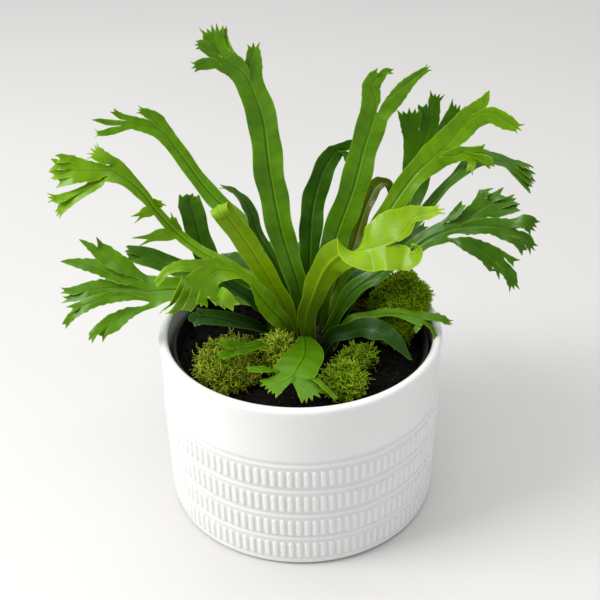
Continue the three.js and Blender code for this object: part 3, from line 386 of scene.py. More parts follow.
                lobe((-57, -54, 162, 3.2), (-59, -54, 159, 2.8), teeth=3, reach=3),
                lobe((-63, -51, 160, 3.2), (-68, -51, 155, 2.4), teeth=3, reach=3.5),
                lobe((-66, -48, 161, 2.8), (-72, -48, 155, 2)),
            ]),
            lobe((-50, -42, 178, 3.4), (-60, -47, 181, 3), (-68, -50, 180, 2.4),
                 (-74, -52, 174, 1.8), reach=3),
        ],
    ),
    "front_low": dict(
        leaf="mid", slot="leaf_young", web=[0.5, 0.6, 0.3], fold=0.05, ruffle=0.07, jag=0.4,
        across=[(-1, 0, 0), (-1, 0, 0)],
        at=[
            (2, -6, 96, 2.8), (2, -14, 114, 2.6), (3, -26, 116, 6.8), (2, -38, 117, 11.4),
            (-1, -47, 117, 11), (-4, -54, 116, 12),
        ],
        lobes=[
            lobe((9, -59, 115, 1.9), (13, -63, 113, 1.7), (18, -66, 109, 1.5), teeth=3, reach=3.5),
            lobe((2, -60, 113, 5.4), (5, -65, 110, 6.8), teeth=5, reach=5, fan=0.5),
            lobe((-12, -59, 115, 5.8), (-17, -63, 114, 7.2), teeth=6, reach=4.5),
            lobe((-20, -54, 120, 3), (-24, -56, 121, 2.4), (-28, -57, 122, 2), reach=3.5),
        ],
    ),
    "low_left_spoon": dict(
        leaf="mid", slot="leaf_dark", web=0.3, fold=0.3, across=[(-0.5, 0.8, 0), (-0.5, 0.8, 0.2)],
        at=[
            (-6, -5, 96, 3.2), (-14, -13, 111, 3.4), (-23, -22, 114, 3.8), (-30, -28, 116, 4),
            (-36, -32, 118, 5.4),
        ],
        lobes=[
            lobe((-41, -36, 117, 3.8), (-44, -38, 117, 3.4), teeth=1, reach=1.4),
            lobe((-41, -33, 122, 3.8), (-45, -32, 123, 3.4), teeth=1, reach=1.4),
        ],
    ),
    "low_left_fold": dict(
        leaf="shaded", slot="leaf_dark", web=0.8, fold=0.4,
        across=[(-0.2, 0.9, 0), (-0.1, 0.9, 0.3), (-0.1, 0.7, 0.7)],
        at=[
            (-11, 2, 95.5, 3.2), (-22, -7, 114, 4.4), (-34, -12, 122, 4.8), (-45, -16, 128, 4.8),
            (-53, -18, 131, 4.6),
        ],
        lobes=[
            lobe((-58, -20, 131, 4.2), (-60, -22, 130, 3.2), reach=2),
            lobe((-57, -18, 134, 2.6), teeth=1, reach=1.5),
        ],
    ),
    "low_left_dark": dict(
        leaf="shaded", slot="leaf_dark", fold=0.3, across=[(-0.1, 0.9, 0.2), (0, 0.8, 0.5)],
        at=[
            (-12, -2, 98.5, 3.5), (-17, -4, 122, 5.7), (-28, -9, 136, 5.2), (-38, -12, 146, 5.4),
            (-46, -15, 154, 4.8),
        ],
        lobes=[
            lobe((-50, -17, 156, 2)),
            lobe((-51, -15, 158, 2)),
        ],
    ),
    "right_dark": dict(
        leaf="shaded", slot="leaf_dark", fold=0.2, across=[(0.6, -0.7, 0), (0.3, -0.7, -0.6)],
        at=[
            (20, 8.5, 97, 3.5), (30, 12, 128, 6), (45, 13, 146, 5.4), (58, 13, 156, 5.8),
        ],
        lobes=[
            lobe((67, 15, 165, 3), (71, 16, 168, 1.8)),
            lobe((64, 12, 158, 3.2)),
        ],
    ),
    "low_right": dict(
        leaf="mid", web=[0.3, 0.3], fold=0.2, ruffle=0.3, jag=1.1,
        across=[(0.2, -0.9, 0), (0.1, -0.9, -0.3)],
        at=[
            (19, 1, 96, 3), (29, -2, 118, 2.8), (41, -3, 121, 2.9), (52, -5, 123, 3.2),
            (62, -7, 123, 4.2), (70, -8, 121, 6),
        ],
        lobes=[
            lobe((79, -8, 121, 3.4), (85, -9, 119, 1.9), teeth=3, reach=3.5),
            lobe((75, -11, 116, 2), (78, -15, 109, 1.1)),
            lobe((67, -13, 119, 1.8), (66, -14, 117, 1.2), teeth=1, reach=3),
        ],
    ),
    "low_right_front": dict(
        leaf="shaded", slot="leaf_dark", fold=0.12,
        across=[(0.3, -0.6, -0.6), (0.3, -0.6, -0.8), (0.5, -0.7, -0.2)],
        at=[
            (11, -6, 96, 3), (17, -13, 113, 4), (27, -19, 121, 4.6), (35, -25, 127, 5.4),
            (43, -30, 128, 5.8), (50, -34, 126, 5.6),
        ],
        lobes=[
            lobe((55, -37, 122, 3.8), (60, -40, 116, 1.4), teeth=1, reach=2.5),
        ],
    ),
    "curled_back": dict(
        leaf="brown", fold=0.3, across=[(0.9, -0.3, 0), (0.7, -0.6, -0.4)],
        at=[
            (11, 18, 98.5, 3.5), (22, 26, 121, 4.8), (31, 36, 142, 4.4), (38, 44, 163, 4.8),
            (44, 48, 176, 4.4), (49, 48, 181, 3.8),
        ],
        lobes=[
            lobe((53, 46, 180, 2.6), (54, 45, 176, 1.8), reach=3),
        ],
    ),
    "rear_a": rear_frond(70, "mid", 119, 101),
    "rear_b": rear_frond(90, "old", 117, 91, slot="leaf_dark"),
    "rear_c": rear_frond(108, "mid", 119, 99),
    "rear_d": rear_frond(128, "dark", 118, 94),
    "rear_e": rear_frond(52, "dark", 118, 94),
}


# ---- small tools -------------------------------------------------------------


def unit(vectors):
    """Each vector at a length of one."""
    return vectors / np.maximum(np.linalg.norm(vectors, axis=-1, keepdims=True), 1e-9)


def smooth(value, low=0.0, high=1.0):
    """0 below low and 1 above high, with a smooth rise between them."""
    t = np.clip((value - low) / (high - low), 0, 1)
    return t * t * (3 - 2 * t)


def waves(rng, size, count=14):
    """A smooth random field of points, about -1 to 1, whose features are near this size."""
    aim = unit(rng.normal(size=(count, 3)))
    pace = TAU / (size * rng.uniform(0.6, 2.2, count))
    start = rng.uniform(0, TAU, count)
    return lambda points: np.sin(points @ (aim * pace[:, None]).T + start).mean(-1) * 2.4


def soil_lump(x, y):
    """The broad lumps of the soil, the same as in the model's source."""
    return 0.3 * np.sin(x / 7 + 1) * np.cos(y / 8) + 0.15 * np.sin(x / 5 - y / 6)


def colour(red, green, blue):
    """A colour given as it looks on a screen, from 0 to 255."""
    share = np.array([red, green, blue]) / 255
    linear = np.where(share <= 0.04045, share / 12.92, ((share + 0.055) / 1.055) ** 2.4)
    return (*linear.tolist(), 1.0)


def add_piece(name, slot, points, faces, material, nodes=(), sharp=50, **attributes):
    """A mesh piece. Faces are arrays with one face in each row."""
    mesh = bpy.data.meshes.new(name)
    sizes = np.concatenate([np.full(len(group), group.shape[1]) for group in faces])
    corners = np.concatenate([group.ravel() for group in faces])
    mesh.vertices.add(len(points))
    mesh.vertices.foreach_set("co", (np.asarray(points) * MM).astype(np.float32).ravel())
    mesh.loops.add(len(corners))
    mesh.loops.foreach_set("vertex_index", corners.astype(np.int32))
    mesh.polygons.add(len(sizes))
    mesh.polygons.foreach_set("loop_start", (np.cumsum(sizes) - sizes).astype(np.int32))
    mesh.update(calc_edges=True)
    for label, values in attributes.items():
        kind, key = ("FLOAT_VECTOR", "vector") if values.ndim == 2 else ("FLOAT", "value")
        layer = mesh.attributes.new(label, kind, "POINT")
        layer.data.foreach_set(key, values.astype(np.float32).ravel())
    mesh.shade_smooth()
    mesh.set_sharp_from_angle(angle=math.radians(sharp))
    mesh.materials.append(material)
    piece = bpy.data.objects.new(name, mesh)
    bpy.context.collection.objects.link(piece)
    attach(piece, "root")
    for node in nodes:
        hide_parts(node)
    return piece


def ring_quads(count, around):
    """The faces between rings of vertices, each ring seen turning left from outside."""
    here = np.arange(around)
    turn = (here + 1) % around
    base = np.arange(count - 1)[:, None] * around
    quads = np.stack([base + here, base + turn, base + around + turn, base + around + here], -1)
    return quads.reshape(-1, 4)


def closed_rings(rings, first_pole, last_pole):
    """Points and faces of a closed form made of rings between two poles."""
    count, around = rings.shape[:2]
    points = np.concatenate([rings.reshape(-1, 3), [first_pole, last_pole]])
    here = np.arange(around)
    turn = (here + 1) % around
    first = np.stack([np.full(around, count * around), turn, here], 1)
    last = np.stack([np.full(around, count * around + 1), here, turn], 1)
    last[:, 1:] += (count - 1) * around
    return points, [ring_quads(count, around), first, last]


def turned(profile, around, relief=None):
    """Rings turned round the Z axis from pairs of radius and height."""
    radius, height = np.array(profile, float).T[:, :, None]
    angle = np.arange(around)[None, :] / around * TAU
    if relief is not None:
        radius = radius + relief(height, angle)
    radius, height, angle = np.broadcast_arrays(radius, height, angle)
    return np.stack([radius * np.cos(angle), radius * np.sin(angle), height], -1)


def corner(start, end, centre, radii, steps):
    """Points on an elliptical arc in the plane of radius and height, by angle in degrees."""
    turn = np.radians(np.linspace(start, end, steps))
    return [
        (centre[0] + radii[0] * math.cos(t), centre[1] + radii[1] * math.sin(t)) for t in turn
    ]


TUBE_SIDES = 3


def tubes(paths, radii):
    """Closed tubes along many paths (n, k, 3), with a radius at each point (n, k)."""
    count, length = radii.shape
    along = unit(np.gradient(paths, axis=1))
    level = unit(np.cross(along, np.array([0.31, 0.52, 0.79])))
    other = np.cross(along, level)
    angle = np.arange(TUBE_SIDES) / TUBE_SIDES * TAU
    ring = level[:, :, None] * np.cos(angle)[:, None] + other[:, :, None] * np.sin(angle)[:, None]
    points = (paths[:, :, None] + ring * radii[:, :, None, None]).reshape(-1, 3)
    quads = ring_quads(length, TUBE_SIDES)
    tube = length * TUBE_SIDES
    offset = np.arange(count)[:, None, None] * tube
    start = np.arange(TUBE_SIDES)[::-1]
    end = np.arange(TUBE_SIDES) + tube - TUBE_SIDES
    return points, [
        (quads + offset).reshape(-1, 4),
        (np.stack([start, end])[None] + offset).reshape(-1, TUBE_SIDES),
    ]


def merge(parts):
    """Joins (points, faces, ...) parts, whose further values are per vertex."""
    shift = 0
    faces = []
    for points, groups, *_ in parts:
        faces += [group + shift for group in groups]
        shift += len(points)
    extras = [np.concatenate(values) for values in zip(*(part[2:] for part in parts))]
    return (np.concatenate([part[0] for part in parts]), faces, *extras)


# ---- materials ---------------------------------------------------------------


class Surface:
    """A node material round one Principled shader."""

    def __init__(self, name, **constants):
        self.material = bpy.data.materials.new(name)
        self.material.use_nodes = True
        self.tree = self.material.node_tree
        self.shader = self.tree.nodes["Principled BSDF"]
        for key, value in constants.items():
            self.shader.inputs[key.replace("_", " ")].default_value = value

    def node(self, kind, inputs=(), output=0, **settings):
        made = self.tree.nodes.new("ShaderNode" + kind)
        for key, value in settings.items():
            setattr(made, key, value)
        for key, value in dict(inputs).items():
            self.put(made.inputs[key], value)
        return made.outputs[output]

    def put(self, socket, value):
        if isinstance(value, bpy.types.NodeSocket):
            self.tree.links.new(value, socket)
        else:
            socket.default_value = value

    def math(self, operation, a, b=0.0):
        return self.node("Math", {0: a, 1: b}, operation=operation)

    def mix(self, share, a, b):
        """The colour a where the share is 0, and b where it is 1."""
        return self.node("Mix", {0: share, 6: a, 7: b}, 2, data_type="RGBA")

    def step(self, value, low, high, a=0.0, b=1.0):
        """A smooth change from a to b as the value goes from low to high."""
        inputs = {"Value": value, "From Min": low, "From Max": high, "To Min": a, "To Max": b}
        return self.node("MapRange", inputs, interpolation_type="SMOOTHSTEP")

    def place(self):
        """Where a point is, in metres from the piece's origin."""
        return self.node("TexCoord", output=3)

    def noise(self, scale, detail=2.0):
        inputs = {"Vector": self.place(), "Scale": scale, "Detail": detail, "Roughness": 0.55}
        return self.node("TexNoise", inputs)

    def attribute(self, name):
        """A number kept at each vertex."""
        return self.node("Attribute", output=2, attribute_name=name)

    def bump(self, height, strength, distance, normal=None):
        inputs = {"Height": height, "Strength": strength, "Distance": distance}
        if normal is not None:
            inputs["Normal"] = normal
        return self.node("Bump", inputs)

    def finish(self, base, roughness=None, normal=None):
        self.put(self.shader.inputs["Base Color"], base)
        if roughness is not None:
            self.put(self.shader.inputs["Roughness"], roughness)
        if normal is not None:
            self.put(self.shader.inputs["Normal"], normal)
        return self.material


GLAZE_FOOT = 0.0004  # metres: the clay is bare below this


def glaze_material():
    """White glossy glaze, with painted shade greying the low parts of its relief, and a bare ring under
    the foot.
    """
    glaze = Surface("white_glaze", IOR=1.5, Coat_Weight=0.4, Coat_Roughness=0.06)
    height = glaze.node("SeparateXYZ", {0: glaze.place()}, 2)
    bare = glaze.step(height, GLAZE_FOOT, GLAZE_FOOT + 0.0005, 1.0, 0.0)
    cloud = glaze.noise(18, 3)
    white = glaze.mix(cloud, colour(246, 246, 244), colour(238, 239, 238))
    # painted shade: the relief is greyed where it is low, most in the hollows between bars and in the
    # fine grooves
    hollow_shade = glaze.step(glaze.attribute("raised"), -0.15, 0.45, 0.4, 0.0)
    white = glaze.mix(hollow_shade, white, colour(206, 208, 210))
    speck = glaze.step(glaze.noise(900, 1), 0.74, 0.8)
    white = glaze.mix(glaze.math("MULTIPLY", speck, 0.12), white, colour(190, 188, 180))
    clay = glaze.mix(glaze.noise(700, 3), colour(206, 196, 180), colour(180, 168, 150))
    ripple = glaze.bump(glaze.noise(75, 2), 0.12, 0.0006)
    grit = glaze.bump(glaze.noise(1500, 2), glaze.math("MULTIPLY", bare, 0.5), 0.0002, ripple)
    gloss = glaze.step(glaze.noise(40, 2), 0.3, 0.7, 0.1, 0.17)
    rough = glaze.math("ADD", gloss, glaze.math("MULTIPLY", bare, 0.65))
    return glaze.finish(glaze.mix(bare, white, clay), rough, grit)


def plastic_material():
    """Black moulded plastic with a fine matt grain, dusty in places."""
    plastic = Surface("black_plastic", IOR=1.46)
    dust = plastic.step(plastic.noise(60, 5), 0.5, 0.75)
    base = plastic.mix(
        plastic.math("MULTIPLY", dust, 0.5), colour(20, 21, 23), colour(52, 47, 42)
    )
    rough = plastic.step(plastic.noise(35, 3), 0.3, 0.7, 0.34, 0.52)
    grain = plastic.bump(plastic.noise(2600, 1), 0.25, 0.0001)
    return plastic.finish(base, rough, grain)


def soil_material():
    """Damp dark potting soil. The attribute tone tells the crumbs of bark from the rest."""
    soil = Surface("potting_soil", IOR=1.4, Specular_IOR_Level=0.2)
    tone = soil.attribute("tone")
    dark = soil.mix(soil.noise(260, 4), colour(3, 3, 2), colour(13, 10, 7))
    bark = soil.mix(soil.noise(500, 3), colour(18, 12, 8), colour(50, 34, 22))
    base = soil.mix(soil.step(tone, 0.6, 0.9), dark, bark)
    base = soil.mix(soil.step(tone, 1.4, 1.6), base, colour(104, 88, 66))
    rough = soil.step(soil.noise(180, 2), 0.35, 0.65, 0.62, 0.95)
    return soil.finish(base, rough, soil.bump(soil.noise(900, 5), 0.9, 0.0008))


def crown_material():
    """Brown papery scales over the crown, paler at their points."""
    scale = Surface("crown_scales", IOR=1.4)
    tone = scale.attribute("tone")
    base = scale.mix(scale.noise(300, 3), colour(18, 16, 8), colour(36, 31, 16))
    base = scale.mix(scale.step(tone, 0.3, 1.0), base, colour(78, 66, 34))
    return scale.finish(base, 0.8, scale.bump(scale.noise(1200, 3), 0.6, 0.0004))


def moss_material(name, deep, body, bright, fleck):
    """Curly moss threads: deep inside, bright at their ends, some of another colour."""
    moss = Surface(
        name, IOR=1.4, Specular_IOR_Level=0.1,
        Subsurface_Weight=0.25, Subsurface_Radius=(0.5, 1.0, 0.2), Subsurface_Scale=0.002,
    )
    tone = moss.attribute("tone")
    tint = moss.attribute("tint")
    base = moss.mix(moss.step(tone, 0.0, 0.5), colour(*deep), colour(*body))
    base = moss.mix(moss.step(tone, 0.5, 1.0), base, colour(*bright))
    base = moss.mix(moss.step(tint, 0.62, 1.0, 0.0, 0.8), base, colour(*fleck))
    patch = moss.step(moss.noise(70, 3), 0.42, 0.7, 0.0, 0.5)
    base = moss.mix(patch, base, colour(*body))
    rough = moss.step(moss.noise(400, 2), 0.3, 0.7, 0.7, 0.95)
    return moss.finish(base, rough, moss.bump(moss.noise(2500, 2), 0.4, 0.0002))


# Colours of each kind of frond: deep, plain, light, and its edge.
LEAF_COLOURS = {
    "old": [(34, 72, 0), (60, 104, 0), (88, 132, 0), (126, 170, 12)],
    "mid": [(50, 90, 0), (84, 132, 0), (118, 164, 2), (142, 186, 16)],
    "young": [(72, 114, 0), (106, 152, 0), (142, 186, 2), (170, 208, 26)],
    "new": [(92, 130, 0), (130, 168, 0), (168, 200, 6), (198, 226, 46)],
    "dark": [(30, 72, 0), (52, 98, 0), (78, 124, 2), (104, 150, 16)],
    # shaded is painted shade: darker colours for the low fronds that lie in shade
    "shaded": [(14, 46, 0), (28, 68, 0), (50, 94, 0), (84, 126, 12)],
    "brown": [(50, 66, 2), (80, 96, 4), (112, 124, 14), (120, 104, 40)],
}


VEIN_SPACING = 1.15
STREAK_SPACING = 8.7  # between the broad faint streaks along the veins
VEIN_SLANT = 0.42
GROOVE_HALF = 0.5  # half the width of the groove along a midrib
RIDGE_PLACE = 0.95  # how far from the midrib the painted highlight on a ridge runs


def leaf_material(kind):
    """A glossy frond: grooved midrib with painted shade in its groove and a painted highlight on the
    ridge beside it, fine oblique veins, painted shade near the crown, pale edges and brown tips.

    The attribute blade holds millimetres from the midrib, millimetres along the frond,
    and millimetres from the nearest edge.
    """
    deep, plain, light, edge = (colour(*shade) for shade in LEAF_COLOURS[kind])
    leaf = Surface(
        "leaf_" + kind, IOR=1.42, Coat_Weight=0.1, Coat_Roughness=0.2, Specular_IOR_Level=0.24,
        Subsurface_Weight=0.15, Subsurface_Radius=(0.35, 1.0, 0.08), Subsurface_Scale=0.002,
    )
    spot = leaf.node("Attribute", output=1, attribute_name="blade")
    lateral, along, inset = (leaf.node("SeparateXYZ", {0: spot}, axis) for axis in range(3))
    tip, under, rib = (leaf.attribute(name) for name in ("tip", "under", "rib"))
    off = leaf.math("ABSOLUTE", lateral)
    # the colour of the painted shade over the frond's first 60 mm, near the crown
    foot = colour(*(0.72 * shade for shade in LEAF_COLOURS[kind][0]))

    # cloudy colour, then fine oblique veins and faint broad streaks along them
    cloud = leaf.noise(38, 3)
    base = leaf.mix(leaf.step(cloud, 0.3, 0.6, 0.74, 1.0), deep, plain)
    base = leaf.mix(leaf.step(leaf.noise(22, 2), 0.48, 0.78, 0.0, 0.22), base, light)
    slant = leaf.math("SUBTRACT", along, leaf.math("MULTIPLY", off, VEIN_SLANT))
    slant = leaf.math("ADD", slant, leaf.math("MULTIPLY", leaf.noise(160, 1), 2.2))
    vein = leaf.math("SINE", leaf.math("MULTIPLY", slant, TAU / VEIN_SPACING))
    base = leaf.mix(leaf.step(vein, 0.2, 1.0, 0.0, 0.09), base, light)
    streak = leaf.math("SINE", leaf.math("MULTIPLY", slant, TAU / STREAK_SPACING))
    base = leaf.mix(leaf.step(streak, -0.2, 1.0, 0.0, 0.16), base, deep)
    # the midrib: a painted highlight on the ridge beside it, and painted shade in its groove
    beside = leaf.math("ABSOLUTE", leaf.math("SUBTRACT", lateral, RIDGE_PLACE))
    ridge = leaf.math("MULTIPLY", leaf.step(beside, 0.1, 0.6, 0.5, 0.0), rib)
    base = leaf.mix(ridge, base, light)
    groove = leaf.math("MULTIPLY", leaf.step(off, 0.12, GROOVE_HALF, 0.8, 0.0), rib)
    base = leaf.mix(groove, base, deep)
    # painted shade over the first 60 mm, where the frond lies in shade near the crown, then a brown foot
    base = leaf.mix(leaf.step(along, 6.0, 60.0, 0.85, 0.0), base, foot)
    base = leaf.mix(leaf.step(along, 1.0, 12.0, 0.8, 0.0), base, colour(42, 30, 16))
    # a pale edge with scorched spots, brown tips, and a paler underside
    base = leaf.mix(leaf.step(inset, 0.1, 0.5, 0.45, 0.0), base, edge)
    scorch = leaf.math(
        "MULTIPLY", leaf.step(leaf.noise(240, 2), 0.6, 0.68), leaf.step(inset, 0.2, 1.1, 1.0, 0.0)
    )
    base = leaf.mix(leaf.math("MULTIPLY", scorch, 0.5), base, colour(96, 70, 30))
    base = leaf.mix(leaf.step(tip, 0.62, 0.95, 0.0, 0.85), base, colour(70, 46, 20))
    base = leaf.mix(under, base, leaf.mix(0.2, base, colour(112, 150, 34)))

    dull = 0.16 if kind == "shaded" else 0.0  # the low, shaded fronds shine less
    rough = leaf.step(leaf.noise(90, 3), 0.3, 0.7, 0.28 + dull, 0.42 + dull)
    rough = leaf.math("ADD", rough, leaf.math("MULTIPLY", under, 0.14))
    rough = leaf.math("ADD", rough, leaf.math("MULTIPLY", tip, 0.2))
    veins = leaf.bump(vein, 0.35, 0.00005)
    skin = leaf.bump(leaf.noise(420, 3), 0.25, 0.0003, veins)
    return leaf.finish(base, rough, skin)


# ---- ceramic pot -------------------------------------------------------------


BAR_HALF = 1.5  # half the width of a bar, and the radius of its round ends
RIDGE_HEIGHT = 0.42
RIDGE_WIDTH = 0.85
GROOVE_DEPTH = 0.22
GROOVE_WIDTH = 0.6
GROOVE_RISE = 2.0  # how far above its ridge a groove runs

COLUMNS_PER_BAR = 10
RELIEF_STEP = 0.5  # between the wall's rings where it has relief
PLAIN_STEP = 3.0  # and where it is plain
FOOT_ROUND = 3.4  # radius of the wall's lower edge
BOWL_ROUND = 6  # radius between the wall and the floor inside


def pot_radius(height):
    return POT_BASE_RADIUS + (POT_RIM_RADIUS - POT_BASE_RADIUS) * height / POT_HEIGHT


def pot_relief(height, angle):
    """Rows of round-ended bars, with a ridge and a fine groove above each row."""
    pitch = TAU * POT_RIM_RADIUS / BARS
    lateral = ((angle * BARS / TAU + 0.5) % 1 - 0.5) * pitch
    relief = np.zeros(np.broadcast(height, angle).shape)
    ridges = np.zeros_like(relief)
    for start in BAND_STARTS:
        low, high = start + BAR_HALF, start + BAR_LENGTH - BAR_HALF
        beyond = np.maximum(np.maximum(low - height, height - high), 0)
        inside = -np.hypot(lateral, beyond)
        bar = RELIEF * smooth(inside, -BAR_HALF - 0.15, -BAR_HALF + 0.5)
        ring = start + BAR_LENGTH + RIDGE_RISE
        ridge = RIDGE_HEIGHT * np.exp(-(((height - ring) / RIDGE_WIDTH) ** 2))
        groove = GROOVE_DEPTH * np.exp(-(((height - ring - GROOVE_RISE) / GROOVE_WIDTH) ** 2))
        relief = np.maximum(relief, bar)
        ridges += ridge - groove
    return relief + ridges


def wall_heights():
    """The heights of the wall's rings, close together where it has relief."""
    heights = np.arange(4.0, POT_HEIGHT - 4.0, PLAIN_STEP)
    for start in BAND_STARTS:
        fine = np.arange(start - 0.6, start + BAR_LENGTH + RIDGE_RISE + 3.6, RELIEF_STEP)
        heights = np.union1d(heights[(heights < fine[0]) | (heights > fine[-1])], fine)
    return heights[heights > 3.9]


def make_pot():
    lip = POT_WALL / 2
    inner = POT_RIM_RADIUS - POT_WALL
    bowl_level = POT_FLOOR + BOWL_ROUND
    bowl_radius = inner - 0.6 - BOWL_ROUND
    foot = [(60, 1.0), (66.5, 1.0), (67.6, 0.5), (68.4, 0)]
    foot += corner(-90, 0, (pot_radius(0) - FOOT_ROUND, FOOT_ROUND), (FOOT_ROUND, FOOT_ROUND), 9)
    wall = [(pot_radius(z), z) for z in wall_heights()]
    top = corner(0, 180, (pot_radius(POT_HEIGHT) - lip, POT_HEIGHT - lip), (lip, lip), 15)
    inside = [(inner - 0.2, 90), (inner - 0.4, 50), (inner - 0.6, bowl_level)]
    bowl = corner(0, -90, (bowl_radius, bowl_level), (BOWL_ROUND, BOWL_ROUND), 8)
    rings = turned(foot + wall + top + inside + bowl, BARS * COLUMNS_PER_BAR, pot_relief)
    points, faces = closed_rings(rings, (0, 0, 1.0), (0, 0, POT_FLOOR))

    # The material paints shade into the low parts of the relief, the hollows between bars, on the banded
    # part of the outside only.
    height, angle = rings[..., 2], np.arctan2(rings[..., 1], rings[..., 0])
    outer = np.hypot(rings[..., 0], rings[..., 1]) > pot_radius(height) - 1
    banded = outer & (height > BAND_STARTS[0] - 2) & (height < BAND_STARTS[-1] + 19)
    raised = np.where(banded, pot_relief(height, angle), 1.0).ravel()
    add_piece(
        "glazed_pot", "glazed_pot", points, faces, glaze_material(), ["pot"], sharp=60,
        raised=np.concatenate([raised, [1.0, 1.0]]),
    )


# ---- nursery pot -------------------------------------------------------------


def rounded(profile, times):
    """Cuts the corners of an open profile, which keeps its ends."""
    points = np.array(profile, float)
    for _ in range(times):
        near = points[:-1] * 0.75 + points[1:] * 0.25
        far = points[:-1] * 0.25 + points[1:] * 0.75
        cut = np.stack([near, far], 1).reshape(-1, 2)
        points = np.concatenate([points[:1], cut, points[-1:]])
    return points


NURSERY_LIP = 4  # height of the rolled rim


def nursery_radius(height):
    rise = (height - NURSERY_FLOOR) / (NURSERY_TOP - NURSERY_LIP - NURSERY_FLOOR)
    return NURSERY_BASE_RADIUS + (NURSERY_RADIUS - NURSERY_BASE_RADIUS) * rise


def make_nursery_pot():
    under_rim = NURSERY_TOP - NURSERY_LIP
    floor_top = NURSERY_FLOOR + NURSERY_WALL
    base = nursery_radius(NURSERY_FLOOR)
    wall_levels = np.linspace(NURSERY_FLOOR + 4, under_rim - 0.8, 14)
    inner_levels = np.linspace(under_rim - 1, NURSERY_FLOOR + 4, 10)
    profile = [
        (30, NURSERY_FLOOR),
        (base, NURSERY_FLOOR),
        *((nursery_radius(z), z) for z in wall_levels),
        (NURSERY_RADIUS + 0.1, under_rim),
        (NURSERY_RIM_RADIUS, under_rim + 0.2),
        (NURSERY_RIM_RADIUS, NURSERY_TOP),
        (NURSERY_RADIUS - NURSERY_WALL, NURSERY_TOP),
        *((nursery_radius(z) - NURSERY_WALL, z) for z in inner_levels),
        (base - NURSERY_WALL, floor_top),
        (30, floor_top),
    ]
    rings = turned(rounded(profile, 2), 180)
    body = closed_rings(rings, (0, 0, NURSERY_FLOOR), (0, 0, floor_top))
    add_piece("nursery_plastic", "nursery_plastic", *body, plastic_material(), ["nursery_pot"])


# ---- soil and crown ----------------------------------------------------------


CRUMBS = 1500
FIBRES = 110
FIBRE_POINTS = 6
CROWN_INSET = 1.2  # how far inside the crown's own radius its body stays, for its scales
SCALES = 900
SCALE_POINTS = 5


def icosahedron():
    """The corners and the faces, turned outwards, of a form with twenty equal faces."""
    golden = (1 + 5 ** 0.5) / 2
    first = [(0, a, b * golden) for a in (-1, 1) for b in (-1, 1)]
    second = [(a, b, 0) for _, a, b in first]
    third = [(b, 0, a) for _, a, b in first]
    corners = np.array(first + second + third)
    # Neighbouring corners are 2 apart, and every three that all neighbour make a face.
    beside = np.abs(np.linalg.norm(corners[:, None] - corners, axis=-1) - 2) < 0.01
    faces = []
    for i, j, k in combinations(range(len(corners)), 3):
        if beside[i, j] and beside[j, k] and beside[i, k]:
            outward = np.linalg.det(corners[[i, j, k]]) > 0
            faces.append((i, j, k) if outward else (i, k, j))
    return corners, np.array(faces)


def crumbs(rng, places, sizes):
    """Rough little lumps, each a squashed and turned form with twenty faces."""
    corners, faces = icosahedron()
    count, around = len(places), len(corners)
    shape = unit(corners)[None] * rng.uniform(0.6, 1.25, (count, around, 1))
    shape *= rng.uniform(0.5, 1.1, (count, 1, 3))
    spin = np.linalg.qr(rng.normal(size=(count, 3, 3)))[0]
    spin *= np.sign(np.linalg.det(spin))[:, None, None]
    points = np.einsum("nij,nkj->nki", spin, shape) * sizes[:, None, None] + places[:, None]
    faces = (faces[None] + np.arange(count)[:, None, None] * around).reshape(-1, 3)
    return points.reshape(-1, 3), [faces]


def soil_body(edge, lifted):
    """The root ball, whose top is lifted into clods and grit."""
    around = 200
    foot = NURSERY_FLOOR + NURSERY_WALL + 0.4
    skirt = [(nursery_radius(foot) - 2.2, foot), (nursery_radius(50) - 1.5, 50), (edge - 0.2, 91.5)]
    side = turned(skirt, around)
    top = turned([(radius, SOIL_LEVEL) for radius in np.linspace(edge, 1.2, 84)], around)
    top[..., 2] += lifted(top[..., 0], top[..., 1])
    return closed_rings(np.concatenate([side, top]), (0, 0, foot), (0, 0, SOIL_LEVEL))


def soil_crumbs(rng, edge, lifted):
    """Crumbs on the soil. One in eight is bark, and one in a hundred a pale chip."""
    radius, turn = np.sqrt(rng.uniform(0, 1, CRUMBS)) * (edge - 2), rng.uniform(0, TAU, CRUMBS)
    x, y = radius * np.cos(turn), radius * np.sin(turn)
    sizes = rng.gamma(3, 0.2, CRUMBS) + 0.35
    places = np.stack([x, y, SOIL_LEVEL + lifted(x, y) + sizes * 0.15], -1)
    points, faces = crumbs(rng, places, sizes)
    kind = rng.choice([0.0, 0.5, 1.0, 2.0], CRUMBS, p=[0.6, 0.26, 0.13, 0.01])
    return points, faces, np.repeat(kind, len(points) // CRUMBS)


def soil_fibres(rng, edge, lifted):
    """Fine roots that wander over the soil."""
    many = (FIBRES, FIBRE_POINTS)
    radius, turn = rng.uniform(24, edge - 9, FIBRES), rng.uniform(0, TAU, FIBRES)
    bend = rng.uniform(0, TAU, FIBRES)[:, None] + np.cumsum(rng.normal(0, 0.35, many), 1)
    steps = np.cumsum(np.stack([np.cos(bend), np.sin(bend)], -1), 1)
    steps = steps * rng.uniform(0.8, 1.7, (FIBRES, 1, 1))
    flat = np.stack([radius * np.cos(turn), radius * np.sin(turn)], -1)[:, None] + steps
    level = SOIL_LEVEL + lifted(flat[..., 0], flat[..., 1]) + rng.uniform(0.3, 1.0, many)
    points, faces = tubes(np.concatenate([flat, level[..., None]], -1), np.full(many, 0.16))
    return points, faces, np.full(len(points), 0.9)


